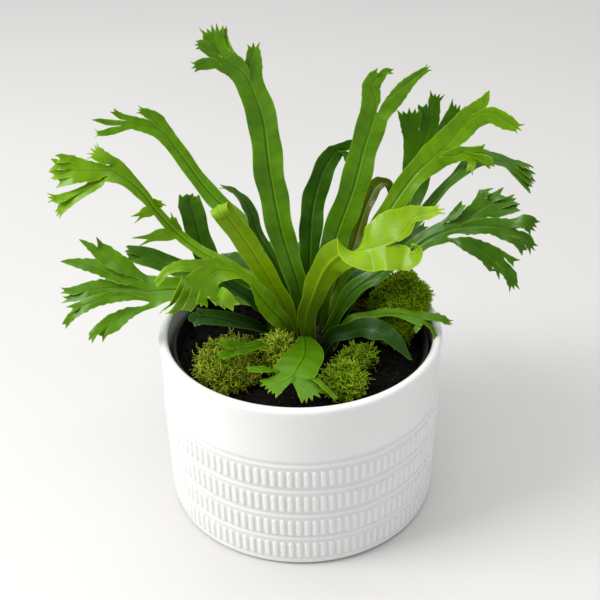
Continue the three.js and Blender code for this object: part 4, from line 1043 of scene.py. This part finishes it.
def make_soil():
    rng = np.random.default_rng(SEEDS["soil"])
    edge = nursery_radius(SOIL_LEVEL) - NURSERY_WALL - 0.5
    clods, grit = waves(rng, 11), waves(rng, 3.2, 22)

    def lifted(x, y):
        flat = np.stack([x, y, np.zeros_like(x)], -1)
        return soil_lump(x, y) + 0.9 * clods(flat) + 0.55 * grit(flat)

    body = soil_body(edge, lifted)
    tone = 0.25 + 0.35 * waves(rng, 6)(body[0])
    parts = [(*body, tone), soil_crumbs(rng, edge, lifted), soil_fibres(rng, edge, lifted)]
    points, faces, tones = merge(parts)
    add_piece("soil_bed", "potting_soil", points, faces, soil_material(), ["soil"], tone=tones)


def crown_dome(rise):
    """The crown's radius at a share of its height."""
    return np.sqrt(np.clip(1 - (rise * 0.98) ** 2.6, 0, 1)) * (CROWN_RADIUS - CROWN_INSET)


def crown_body(rng):
    rise = np.linspace(0, 1, 26)[:, None]
    angle = np.arange(96)[None] / 96 * TAU
    dome = crown_dome(rise)
    dome = dome * (1 + 0.05 * np.sin(9 * angle + 7 * rise) * (1 - rise))
    rings = np.stack([
        CROWN_CENTRE[0] + dome * np.cos(angle),
        CROWN_CENTRE[1] + dome * np.sin(angle),
        np.broadcast_to(CROWN_FOOT + (CROWN_TOP - CROWN_FOOT - 0.8) * rise, dome.shape),
    ], -1)
    rings[..., 2] += 0.5 * waves(rng, 5)(rings) * (rise > 0.3)
    return closed_rings(rings, (*CROWN_CENTRE, CROWN_FOOT), (*CROWN_CENTRE, CROWN_TOP - 0.4))


def crown_scales(rng):
    """Narrow papery scales that point up and out from the crown."""
    turn, share = rng.uniform(0, TAU, SCALES), rng.uniform(0.25, 1, SCALES)
    radius = crown_dome(share)
    root = np.stack([
        CROWN_CENTRE[0] + radius * np.cos(turn),
        CROWN_CENTRE[1] + radius * np.sin(turn),
        CROWN_FOOT + (CROWN_TOP - CROWN_FOOT - 1.2) * share,
    ], -1)
    aim = unit(root - np.array([*CROWN_CENTRE, CROWN_FOOT + 2]) + rng.normal(0, 5, (SCALES, 3)))
    travel = np.linspace(0, 1, SCALE_POINTS)[None, :, None]
    paths = root[:, None] + aim[:, None] * travel * rng.uniform(1.2, 3.4, (SCALES, 1, 1))
    paths[..., 2] += (travel[..., 0] ** 2) * rng.uniform(0, 1.2, (SCALES, 1))
    width = np.array([0.55, 0.6, 0.45, 0.25, 0.05])[None] * rng.uniform(0.5, 1.2, (SCALES, 1))
    tone = np.tile(np.repeat(np.linspace(0, 1, SCALE_POINTS), TUBE_SIDES), SCALES)
    return (*tubes(paths, width), tone)


def make_crown():
    rng = np.random.default_rng(SEEDS["crown"])
    body = crown_body(rng)
    points, faces, tones = merge([(*body, np.zeros(len(body[0]))), crown_scales(rng)])
    add_piece(
        "crown_scales", "crown_scales", points, faces, crown_material(), ["crown"], tone=tones
    )


# ---- moss --------------------------------------------------------------------

# Each clump: centre and half size of its foot, height, bulge and lean of its dome as in the
# model's source, then how many threads it has, their length and their radius, how many points
# each has unless it is six, and their colours: deep inside, plain, at their ends, and stray.
LIME = [(24, 40, 2), (116, 158, 16), (184, 218, 54), (140, 130, 40)]
MOSS = {
    "moss_left": dict(
        at=(-42, -24), size=(18, 22), height=15, bulge=1.02, lean=(1, 3),
        count=1250, reach=9.5, thick=0.34, slot="moss_olive",
        colours=[(20, 30, 2), (112, 140, 16), (192, 208, 70), (172, 150, 50)],
    ),
    "moss_centre": dict(
        at=(-13, -22), size=(5, 7), height=25, bulge=0.96, lean=(1, 4),
        count=260, reach=10, thick=0.3, slot="moss_yellow",
        colours=[(34, 44, 2), (126, 156, 16), (196, 214, 70), (186, 176, 60)],
    ),
    "moss_front_right": dict(
        at=(24, -39), size=(9, 13), height=10, bulge=1.1, lean=(0, 2),
        count=520, reach=9, thick=0.42, slot="moss_lime",
        colours=LIME,
    ),
    "moss_right_small": dict(
        at=(33, -14), size=(7.5, 6), height=9, bulge=1.1, lean=(0, 1),
        count=260, reach=8, thick=0.4, slot="moss_lime",
        colours=LIME,
    ),
    "moss_mound": dict(
        at=(52, 9), size=(15.5, 19), height=43, bulge=1.35, lean=(12, 10),
        count=4050, reach=5.0, thick=0.38, knots=4, slot="moss_dark",
        colours=[(34, 46, 0), (92, 126, 6), (146, 178, 24), (158, 216, 16)],
    ),
    "moss_back_small": dict(
        at=(41, 38), size=(9, 8), height=8, bulge=1.1, lean=(0, 0),
        count=420, reach=4.5, thick=0.32, slot="moss_brown",
        colours=[(26, 20, 8), (84, 72, 28), (136, 122, 56), (96, 64, 34)],
    ),
}


def moss_dome(clump, turn, rise):
    """A point on the clump's dome at an angle and a share of its height."""
    levels = [0.0, 0.3, 0.6, 0.86, 0.97, 1.0]
    bulge = clump["bulge"]
    shares = [0.8, 0.95, bulge, bulge * 0.76, bulge * 0.4, 0.02]
    share = np.interp(rise, levels, shares)
    (x, y), (width, depth), lean = clump["at"], clump["size"], clump["lean"]
    px = x + lean[0] * rise + width * share * np.cos(turn)
    py = y + lean[1] * rise + depth * share * np.sin(turn)
    seat = SOIL_LEVEL + soil_lump(px, py) + 0.4
    return np.stack([px, py, seat + (clump["height"] - 0.4) * rise], -1)


THREAD_CURL = 0.75
THREAD_KNOTS = 6
CORE_AROUND = 60


def grow_threads(rng, roots, aims, reach, knots):
    """Curly paths from these roots, each a wandering walk through so many knots."""
    count = len(roots)
    path = [roots]
    aim = aims
    drift = rng.normal(0, THREAD_CURL, (count, 3))
    for _ in range(knots - 1):
        drift = 0.55 * drift + rng.normal(0, THREAD_CURL * 0.6, (count, 3))
        aim = unit(aim + drift)
        path.append(path[-1] + aim * reach[:, None] / (knots - 1))
    return np.stack(path, 1)


def moss_core(rng, clump, heart):
    """The dense inside of a clump: its dome, drawn in towards its heart and lumpy."""
    rise = np.linspace(0, 0.98, 22)[:, None]
    turn = np.arange(CORE_AROUND)[None] / CORE_AROUND * TAU
    rings = moss_dome(clump, turn, rise)
    core = heart + (rings - heart) * (0.76 + 0.07 * waves(rng, 9)(rings)[..., None])
    core[..., 2] = np.maximum(core[..., 2], SOIL_LEVEL + soil_lump(core[..., 0], core[..., 1]))
    seat = (*clump["at"], float(core[0, :, 2].min()))
    return closed_rings(core, seat, tuple(core[-1].mean(0) + [0, 0, 0.3]))


def moss_threads(rng, clump, heart):
    """Curly threads out of a clump, and two shorter ones that fork off each of them."""
    count = clump["count"]
    height = rng.uniform(0.02, 1, count) ** 0.8
    skin = moss_dome(clump, rng.uniform(0, TAU, count), height)
    out = unit(skin - heart + [0, 0, 2])
    bumps = waves(rng, 9)(skin)[:, None]
    roots = heart + (skin - heart) * (0.7 + 0.08 * bumps)
    aims = unit(out + rng.normal(0, 0.55, (count, 3)))
    reach = clump["reach"] * rng.uniform(0.6, 1.15, count)
    knots = clump.get("knots", THREAD_KNOTS)
    trunk = grow_threads(rng, roots, aims, reach, knots)

    parents = np.repeat(np.arange(count), 2)
    joint = rng.integers(knots // 3, knots - 1, len(parents))
    fork_roots = trunk[parents, joint]
    fork_aims = unit(fork_roots - trunk[parents, joint - 1])
    fork_aims = unit(fork_aims + rng.normal(0, 0.7, (len(parents), 3)))
    twigs = grow_threads(rng, fork_roots, fork_aims, reach[parents] * 0.5, knots - 1)

    # The threads that face right, forward and down take the stray colour most.
    tint = rng.uniform(0, 0.6, count) + 0.6 * (out @ np.array([0.75, -0.45, -0.5]))
    groups = ((trunk, np.arange(count), 0.1, 0.8), (twigs, parents, 0.45, 1.0))
    parts = []
    for paths, owner, start, end in groups:
        length = paths.shape[1]
        taper = np.linspace(1, 0.62, length)[None] * rng.uniform(0.75, 1.2, (len(paths), 1))
        threads = tubes(paths, clump["thick"] * taper)
        tone = np.tile(np.repeat(np.linspace(start, end, length), TUBE_SIDES), len(paths))
        parts.append((*threads, tone, np.repeat(tint[owner], length * TUBE_SIDES)))
    return parts


def make_moss(name, clump, seed):
    rng = np.random.default_rng(seed)
    heart = np.array([*clump["at"], SOIL_LEVEL + 0.4 * clump["height"]])
    heart[:2] += np.array(clump["lean"]) * 0.4
    core = moss_core(rng, clump, heart)
    zeros = np.zeros(len(core[0]))
    points, faces, tones, tints = merge([(*core, zeros, zeros), *moss_threads(rng, clump, heart)])
    floor_level = SOIL_LEVEL + soil_lump(points[:, 0], points[:, 1]) - 0.6
    points[:, 2] = np.maximum(points[:, 2], floor_level)
    material = moss_material(name, *clump["colours"])
    add_piece(
        name + "_threads", clump["slot"], points, faces, material, [name], sharp=180,
        tone=tones, tint=tints,
    )


# ---- fronds ------------------------------------------------------------------

COLUMNS_PER_TOOTH = 4
FEWER_COLUMNS = 3  # for each tooth of a frond with many teeth
MANY_TEETH = 16
STRAP_STEP = 1.7  # between the rows of a frond's strap
LOBE_STEP = 0.9  # between the rows of its lobes
PLEAT_SPACING = 9.5
LEAST_WEB = 0.1  # a web smaller than this leaves a rounded notch instead
SKIN_ABOVE = 0.3  # half the blade's thickness, above its middle surface and below it
SKIN_BELOW = 0.28


def spline(stations, shares):
    """Points, unit directions and half widths at these shares of a smooth curve."""
    knots = np.array(stations, float)
    knots = np.vstack([2 * knots[0] - knots[1], knots, 2 * knots[-1] - knots[-2]])
    place = np.clip(shares, 0, 1) * (len(knots) - 3)
    span = np.minimum(place.astype(int), len(knots) - 4)
    t = (place - span)[:, None]
    before, start, end, after = (knots[span + k] for k in range(4))
    leave, arrive = (end - before) / 2, (after - start) / 2
    point = (
        (2 * t**3 - 3 * t**2 + 1) * start + (t**3 - 2 * t**2 + t) * leave
        + (3 * t**2 - 2 * t**3) * end + (t**3 - t**2) * arrive
    )
    slope = (
        (6 * t**2 - 6 * t) * (start - end) + (3 * t**2 - 4 * t + 1) * leave
        + (3 * t**2 - 2 * t) * arrive
    )
    return point[:, :3], unit(slope[:, :3]), np.maximum(point[:, 3], 0.8)


def curve_length(stations):
    """The length of the straight steps between the stations."""
    knots = np.array(stations, float)[:, :3]
    return float(np.linalg.norm(np.diff(knots, axis=0), axis=1).sum())


def square(direction, axis):
    """The unit direction nearest to this one that is at right angles to the axis."""
    return unit(direction - axis * (direction @ axis))


def coiled(frond, count=12):
    """A frond's stations, with the spiral of its fiddlehead past the last one if it has one."""
    stations = [np.array(station, float) for station in frond["at"]]
    if "coil" not in frond:
        return stations
    turns, outer, inner, tip_half = frond["coil"]
    end, end_half = stations[-1][:3], stations[-1][3]
    ahead = unit(end - stations[-2][:3])
    inward = np.cross(square(np.array(frond["across"][-1], float), ahead), ahead)
    for share in np.arange(1, count + 1) / count:
        turn, radius = TAU * turns * share, outer + (inner - outer) * share
        spot = end + inward * (outer - radius * math.cos(turn)) + ahead * radius * math.sin(turn)
        stations.append(np.array([*spot, end_half + (tip_half - end_half) * share]))
    return stations


def blended(values, low, high, share):
    """Between the values at two lists of vertices."""
    return values[low] * (1 - share) + values[high] * share


def count_teeth(node):
    return node.get("teeth") or sum(count_teeth(child) for child in node["lobes"])


class Blade:
    """The middle surface of a frond, grown row by row, then given its thickness.

    A row is a list of vertices from left to right. Across it, c goes from -1 to 1.
    """

    def __init__(self, frond, seed):
        self.frond = frond
        self.rng = np.random.default_rng(seed)
        self.density = COLUMNS_PER_TOOTH if count_teeth(frond) <= MANY_TEETH else FEWER_COLUMNS
        self.points, self.blade, self.quads, self.triangles = [], [], [], []
        self.count = 0
        self.ruffle = self.rng.uniform(24, 38, 2)  # the length of a ruffle on each edge
        self.phase = self.rng.uniform(0, TAU, 8)

    def row(self, points, lateral, travel, rib, tip=0.0):
        """Adds a row and what the blade is like there: where, how ribbed, how near a tip."""
        ids = np.arange(self.count, self.count + len(points))
        self.count += len(points)
        self.points.append(points)
        values = np.broadcast_arrays(lateral, travel, rib, tip, np.zeros(len(points)))
        self.blade.append(np.stack(values[:4], -1))
        return ids

    def join(self, lower, upper):
        self.quads.append(np.stack([lower[:-1], lower[1:], upper[1:], upper[:-1]], 1))

    def at(self, ids):
        return np.concatenate(self.points)[ids]

    def like(self, ids):
        return np.concatenate(self.blade)[ids]

    def lift(self, c, half, travel, flatten):
        """How far a row stands above its chord: the fold, then ripples along its edges."""
        frond, phase = self.frond, self.phase
        fold = frond.get("fold", 0) * half * flatten * (np.sqrt(c * c + 0.02) - 0.14)
        ripple = frond.get("wave", 0) * np.sin(travel / 6 + c) * c * c
        hand = np.where(c < 0, 0, 1)
        turn = TAU * travel / self.ruffle[hand] + phase[hand]
        ruffle = np.sin(turn) * np.abs(c) ** 1.6 * frond.get("ruffle", 0.17) * half
        slant = travel - 0.5 * np.abs(c) * half
        pleat = 0.028 * min(half, 8) * np.sin(TAU * slant / PLEAT_SPACING + phase[2])
        return fold + ripple + ruffle + pleat * np.abs(c) * (1 - 0.4 * np.abs(c))

    def rag(self, c, half, travel, amount):
        """How far the margin strays sideways from its even line."""
        hand = np.where(c < 0, 0, 1)
        pace = self.ruffle[hand] * 0.8
        broad = 0.055 * half * np.sin(TAU * travel / pace + self.phase[hand + 3])
        fine = 0.5 * np.sin(1.25 * travel + self.phase[hand + 5])
        fine += 0.5 * np.abs(np.sin(0.9 * travel + self.phase[hand + 4])) - 0.25
        return np.sign(c) * np.abs(c) ** 4 * (broad + fine * amount * min(1, half / 4))

    def grow(self):
        """The strap, then the leaflets on its edges, and the lobes that it forks into."""
        frond = self.frond
        at = coiled(frond)
        length = curve_length(at)
        steps = max(24, int(length / STRAP_STEP))
        shares = np.linspace(0, 1, steps + 1)
        centre, along, half = spline(at, shares)
        travel = np.concatenate([[0], np.cumsum(np.linalg.norm(np.diff(centre, axis=0), axis=1))])
        keys = np.array(frond["across"], float)
        spots = np.linspace(0, 1, len(keys))
        across = np.stack([np.interp(shares, spots, keys[:, axis]) for axis in range(3)], 1)
        columns = self.density * count_teeth(frond)
        c0 = np.linspace(-1, 1, columns + 1)
        even = np.sign(c0) * np.abs(c0) ** 1.35
        fork = 2 * self.fork_places(frond) - 1
        rows = []
        for k, share in enumerate(shares):
            side = square(across[k], along[k])
            up = np.cross(side, along[k])
            c = even + (fork - even) * smooth(share, 0.72, 1.0)
            stray = self.rag(c, half[k], travel[k], 0.4 * smooth(share, 0.75, 1) * self.jag)
            lateral = c * half[k] + stray
            lift = self.lift(c, half[k], travel[k], 1.0)
            points = centre[k] + side * lateral[:, None] + up * lift[:, None]
            ids = self.row(points, c * half[k], travel[k], 1 - 0.5 * smooth(share, 0.7, 1))
            if rows:
                self.join(rows[-1], ids)
            rows.append(ids)
        for spur in frond.get("spurs", ()):
            self.grow_spur(rows, spur, along, travel)
        last = dict(along=along[-1], side=side, up=up, half=half[-1], travel=travel[-1])
        self.grow_lobes(frond, rows[-1], last, 1.0)

    @property
    def jag(self):
        return self.frond.get("jag", 0.3)

    def fork_shares(self, node):
        """Where a node's lobes begin and end on its last row, as shares from left to right."""
        halves = np.array([child["at"][0][3] for child in node["lobes"]], float)
        return np.concatenate([[0], np.cumsum(halves) / halves.sum()])

    def fork_columns(self, node):
        """The columns at which a node's lobes begin and end."""
        counts = [self.density * count_teeth(child) for child in node["lobes"]]
        return np.concatenate([[0], np.cumsum(counts)])

    def fork_places(self, node):
        """Where each column of a node's last row lies, as a share from left to right."""
        if not node["lobes"]:
            return np.linspace(0, 1, self.density * node["teeth"] + 1)
        columns = self.fork_columns(node)
        return np.interp(np.arange(columns[-1] + 1), columns, self.fork_shares(node))

    def grow_lobes(self, node, ids, end, flatten):
        bounds, shares = self.fork_columns(node), self.fork_shares(node)
        lobes = node["lobes"]
        webs = node.get("web", self.frond.get("web", 0.55))
        webs = webs if isinstance(webs, (list, tuple)) else [webs] * (len(lobes) - 1)
        grown = []
        for number, child in enumerate(lobes):
            row = ids[bounds[number]: bounds[number + 1] + 1]
            inner = (
                number > 0 and webs[number - 1] < LEAST_WEB,
                number < len(lobes) - 1 and webs[number] < LEAST_WEB,
            )
            half = end["half"] * (shares[number + 1] - shares[number])
            grown.append(self.grow_lobe(child, row, end, half, inner, flatten))
        for left, right, web in zip(grown, grown[1:], webs):
            if web >= LEAST_WEB:
                self.grow_web(left, right, web, end["side"])

    def grow_web(self, left, right, web, side):
        """Fills between two lobes as far as a rounded notch, on the lobes' own vertices."""
        most = max(2, round(web * min(len(left), len(right))))
        points, like = np.concatenate(self.points), np.concatenate(self.blade)
        left = np.array([row[-1] for row in left[: most + 1]])
        right = np.array([row[0] for row in right[: most + 1]])
        gaps = ((points[right] - points[left]) @ side)[1:]
        apart = np.linalg.norm(points[right] - points[left], axis=1)[1:]
        good = np.cumprod((gaps > -0.1) & (apart < 16)).sum()
        last = min(most, len(left) - 1, len(right) - 1, int(good))
        if last < 2:
            return
        columns = int(np.clip(round(apart[last - 1] / 1.1), 3, 9))
        c = np.linspace(0, 1, columns + 1)[1:-1]
        pull = 1 - 0.42 * (4 * c * (1 - c)) ** 0.8
        previous = None
        for k in range(1, last + 1):
            level = k * pull
            low = np.minimum(level.astype(int), last - 1)
            rest = (level - low)[:, None]
            share = c[:, None]
            spots, traits = (
                blended(values, left[low], left[low + 1], rest) * (1 - share)
                + blended(values, right[low], right[low + 1], rest) * share
                for values in (points, like)
            )
            traits[:, 2] *= (2 * c - 1) ** 2
            middle = self.row(spots, *traits.T)
            ids = np.concatenate([[left[k]], middle, [right[k]]])
            if previous is None:
                fork = np.full(len(ids) - 1, left[0])
                self.triangles.append(np.stack([fork, ids[1:], ids[:-1]], 1))
            else:
                self.join(previous, ids)
            previous = ids

    def grow_lobe(self, node, row, end, first_half, inner, flatten):
        """A lobe on a stretch of a row, and all that grows from it. Returns its rows."""
        base, traits = self.at(row), self.like(row)
        start = (base[0] + base[-1]) / 2
        stations = [(*start, first_half), *node["at"]]
        length = curve_length(stations)
        steps = max(4, int(length / LOBE_STEP))
        shares = np.linspace(0, 1, steps + 1)[1:]
        centre, along, half = spline(stations, shares)
        offset = base - start
        begin = np.linspace(-1, 1, len(row))
        final = 2 * self.fork_places(node) - 1
        up, at, gone = end["up"], start, 0.0
        rows = [row]
        for k, share in enumerate(shares):
            up = square(up, along[k])
            side = np.cross(along[k], up)
            gone += float(np.linalg.norm(centre[k] - at))
            at = centre[k]
            travel = end["travel"] + gone
            blend = smooth(share * len(node["at"]), 0.0, 0.9)
            c = begin + (final - begin) * smooth(share, 0.2, 1)
            level = flatten + (0.6 - flatten) * blend
            lateral = c * half[k] + self.rag(c, half[k], travel, self.jag)
            # The edges between sibling lobes draw back at once, which rounds their notch.
            notch = 1.1 * math.sqrt(min(gone / 1.6, 1)) * (1 - smooth(gone, 5, 13))
            notch *= min(1, half[k] / 4)
            lean = np.where(c < 0, inner[0], inner[1]) * notch * np.abs(c) ** 2
            lateral = lateral - np.sign(c) * lean
            lift = self.lift(c, half[k], travel, level)
            grown = side * lateral[:, None] + up * lift[:, None]
            carried = offset - end["side"] * (np.sign(begin) * lean)[:, None]
            points = centre[k] + carried + (grown - carried) * blend
            fade = smooth(share, 0.0, 0.8)
            place = traits[:, 0] * (1 - fade) + c * half[k] * fade
            rib = traits[:, 2] * (1 - fade) + 0.3 * fade
            ids = self.row(points, place, travel, rib)
            self.join(rows[-1], ids)
            rows.append(ids)
        last = dict(along=along[-1], side=side, up=up, half=half[-1], travel=travel)
        if node["lobes"]:
            self.grow_lobes(node, rows[-1], last, 0.6)
        else:
            self.grow_teeth(node, rows[-1], last)
        return rows

    def grow_teeth(self, node, row, end):
        """The pointed teeth at the end of a lobe, which fan out."""
        teeth = node["teeth"]
        each = (len(row) - 1) // teeth
        draw = self.rng.uniform
        for tooth in range(teeth):
            ids = row[tooth * each: (tooth + 1) * each + 1]
            lean = node["fan"] * ((2 * tooth + 1) / teeth - 1) * 1.4 if teeth > 1 else 0
            lean += draw(-0.2, 0.2)
            reach = node["reach"] * draw(0.4, 0.85)
            aim = end["along"] * math.cos(lean) + end["side"] * math.sin(lean)
            self.grow_tooth(ids, aim, end["up"] * draw(-0.35, 0.15), reach)

    def grow_tooth(self, ids, aim, curl, reach):
        """A pointed tooth on a stretch of vertices, which narrows as it goes."""
        base, traits = self.at(ids), self.like(ids)
        heart = base.mean(0)
        skew = self.rng.uniform(-0.35, 0.35)
        across = base[-1] - base[0]
        previous = ids
        for share in (0.2, 0.42, 0.64, 0.82, 0.94, 1.0):
            width = max((1 - share) ** 0.85, 0.1)
            centre = heart + aim * reach * share + curl * reach * share**2
            centre = centre + across * skew * share * 0.4
            points = centre + (base - heart) * width
            lateral, travel = traits[:, 0], traits[:, 1] + reach * share
            ids = self.row(points, lateral, travel, 0.2, share)
            self.join(previous, ids)
            previous = ids

    def grow_spur(self, rows, spur, along, travel):
        """A small leaflet on the strap's edge, which ends in two or three points."""
        station, hand, *tip = spur
        spans = len(self.frond["at"]) - 1
        low = station / spans * (len(rows) - 1)
        high = min((station + 0.5) / spans * (len(rows) - 1), len(rows) - 1)
        levels = np.arange(int(round(low)), int(round(high)) + 1)
        edge = 0 if hand < 0 else -1
        ids = np.array([rows[level][edge] for level in levels])
        middle = levels[len(levels) // 2]
        if hand > 0:
            ids = ids[::-1]
        base = self.at(ids)
        heart = base.mean(0)
        reach = np.array(tip, float) - heart
        sag = np.cross(reach, along[middle]) * self.rng.uniform(-0.12, 0.12)
        c = np.linspace(-1, 1, len(ids))
        previous = ids
        for share in np.linspace(0.12, 0.6, 5):
            width = 1 - 0.45 * share + 0.15 * math.sin(9 * share)
            centre = heart + reach * share + sag * share
            points = centre + (base - heart) * width
            ids = self.row(points, c * 2.5, travel[middle] + 12 * share, 0.3)
            self.join(previous, ids)
            previous = ids
        forward = unit(reach)
        side = unit(base[-1] - base[0])
        normal = np.cross(side, forward)
        teeth = 2 if len(ids) < 7 else 3
        cuts = np.linspace(0, len(ids) - 1, teeth + 1).round().astype(int)
        far = float(np.linalg.norm(reach)) * 0.42
        for tooth in range(teeth):
            lean = 0.5 * ((2 * tooth + 1) / teeth - 1)
            aim = forward * math.cos(lean) + side * math.sin(lean)
            part = previous[cuts[tooth]: cuts[tooth + 1] + 1]
            self.grow_tooth(part, aim, normal * 0.1, far * self.rng.uniform(0.7, 1.1))

    def body(self):
        """Both skins and the thin walls round the edges, as points, faces and attributes."""
        points = np.concatenate(self.points)
        lateral, travel, rib, tip = np.concatenate(self.blade).T
        skins = [np.concatenate(self.quads)]
        if self.triangles:
            skins.append(np.concatenate(self.triangles))
        normals = np.zeros_like(points)
        for skin in skins:
            corners = points[skin]
            facing = np.cross(corners[:, 2] - corners[:, 0], corners[:, -1] - corners[:, 1])
            for k in range(skin.shape[1]):
                np.add.at(normals, skin[:, k], facing)
        normals = unit(normals)
        count = len(points)
        starts = np.concatenate([skin.ravel() for skin in skins])
        ends = np.concatenate([np.roll(skin, -1, axis=1).ravel() for skin in skins])
        open_edge = ~np.isin(starts * count + ends, ends * count + starts)
        starts, ends = starts[open_edge], ends[open_edge]
        inset = edge_distance(points, np.union1d(starts, ends))
        off = np.abs(lateral)
        groove = 0.34 * np.exp(-((off / 0.5) ** 2)) - 0.16 * np.exp(-(((off - 1.2) / 0.6) ** 2))
        thin = 0.12 * (1 - smooth(inset, 0, 1.5))
        stalk = 1 + 0.6 * (1 - smooth(travel, 8, 40))
        above = SKIN_ABOVE - groove * rib - thin
        below = SKIN_BELOW + 0.75 * stalk * rib * np.exp(-((off / 1.1) ** 2)) - thin
        top = points + normals * above[:, None]
        bottom = points - normals * below[:, None]
        walls = np.stack([ends, starts, starts + count, ends + count], 1)
        faces = [*skins, *(skin[:, ::-1] + count for skin in skins), walls]
        traits = {
            "blade": np.stack([lateral, travel, inset], -1), "tip": tip, "rib": rib,
        }
        traits = {key: np.concatenate([value, value]) for key, value in traits.items()}
        traits["under"] = np.repeat([0.0, 1.0], count)
        return np.concatenate([top, bottom]), faces, traits


def edge_distance(points, rim):
    """How far each point is from the nearest of the rim's points, in millimetres."""
    tree = KDTree(len(rim))
    for number, point in enumerate(points[rim]):
        tree.insert(point, number)
    tree.balance()
    return np.array([tree.find(point)[2] for point in points])


def make_fronds():
    materials = {kind: leaf_material(kind) for kind in LEAF_COLOURS}
    for seed, (name, frond) in enumerate(FRONDS.items(), SEEDS["fronds"]):
        blade = Blade(frond, seed)
        blade.grow()
        points, faces, traits = blade.body()
        kind = frond["leaf"]
        slot = frond.get("slot", "leaf_" + kind)
        add_piece(
            "blade_" + name, slot, points, faces, materials[kind], ["frond_" + name],
            sharp=60, **traits,
        )


# ---- stage, lights and camera ------------------------------------------------


FLOOR_HALF = 20.0  # metres, so that its edge stays out of every view


def make_stage():
    mesh = bpy.data.meshes.new("floor")
    far = FLOOR_HALF
    corners = [(-far, -far, 0), (far, -far, 0), (far, far, 0), (-far, far, 0)]
    mesh.from_pydata(corners, [], [(0, 1, 2, 3)])
    floor = bpy.data.objects.new("floor", mesh)
    bpy.context.collection.objects.link(floor)
    pale = Surface("pale_floor", IOR=1.45)
    base = pale.mix(pale.noise(3, 4), colour(222, 221, 219), colour(213, 212, 211))
    mesh.materials.append(pale.finish(base, pale.step(pale.noise(5, 2), 0.3, 0.7, 0.42, 0.5)))


def area_light(name, place, target, size, power, tint=(1, 1, 1)):
    """A soft rectangular light, with its places and sizes in metres."""
    light = bpy.data.lights.new(name, "AREA")
    light.shape, light.size, light.size_y = "RECTANGLE", *size
    light.energy, light.color = power, tint
    lamp = bpy.data.objects.new(name, light)
    bpy.context.collection.objects.link(lamp)
    aim = Vector(target) - Vector(place)
    turn = aim.to_track_quat("-Z", "Y").to_matrix().to_4x4()
    lamp.matrix_world = Matrix.Translation(place) @ turn


def make_lights():
    world = bpy.data.worlds.new("studio")
    bpy.context.scene.world = world
    world.use_nodes = True
    sky = world.node_tree.nodes["Background"]
    sky.inputs["Color"].default_value = (0.98, 0.99, 1.0, 1)
    sky.inputs["Strength"].default_value = 0.42
    area_light("window", (-1.1, -0.3, 1.0), (0, 0, 0.12), (0.7, 0.6), 17, (1.0, 0.99, 0.97))
    area_light("overhead", (0.1, 0.2, 2.2), (0, 0, 0), (2.4, 2.4), 30)
    area_light("fill", (1.2, -0.8, 0.7), (0, 0, 0.12), (0.8, 0.8), 1.6, (0.96, 0.98, 1.0))
    bpy.context.scene.view_settings.view_transform = "Standard"


def make_camera():
    """The camera at the photograph's viewing angle, in metres."""
    lens = bpy.data.cameras.new("camera")
    lens.sensor_fit, lens.sensor_width = "HORIZONTAL", 36
    lens.lens = 72.62
    lens.clip_start, lens.clip_end = 0.01, 20
    camera = bpy.data.objects.new("camera", lens)
    bpy.context.collection.objects.link(camera)
    right = Vector((0.999902, -0.007365, -0.011906))
    up = Vector((0.0139995, 0.526042, 0.850344))
    back = Vector((0, -0.85043, 0.52609))
    turn = Matrix((right, up, back)).transposed().to_4x4()
    camera.matrix_world = Matrix.Translation((0, -0.5904, 0.4953)) @ turn
    bpy.context.scene.camera = camera


make_camera()
make_stage()
make_lights()
make_pot()
make_nursery_pot()
make_soil()
make_crown()
for seed, (name, clump) in enumerate(MOSS.items(), SEEDS["moss"]):
    make_moss(name, clump, seed)
make_fronds()

bpy.context.view_layer.update()
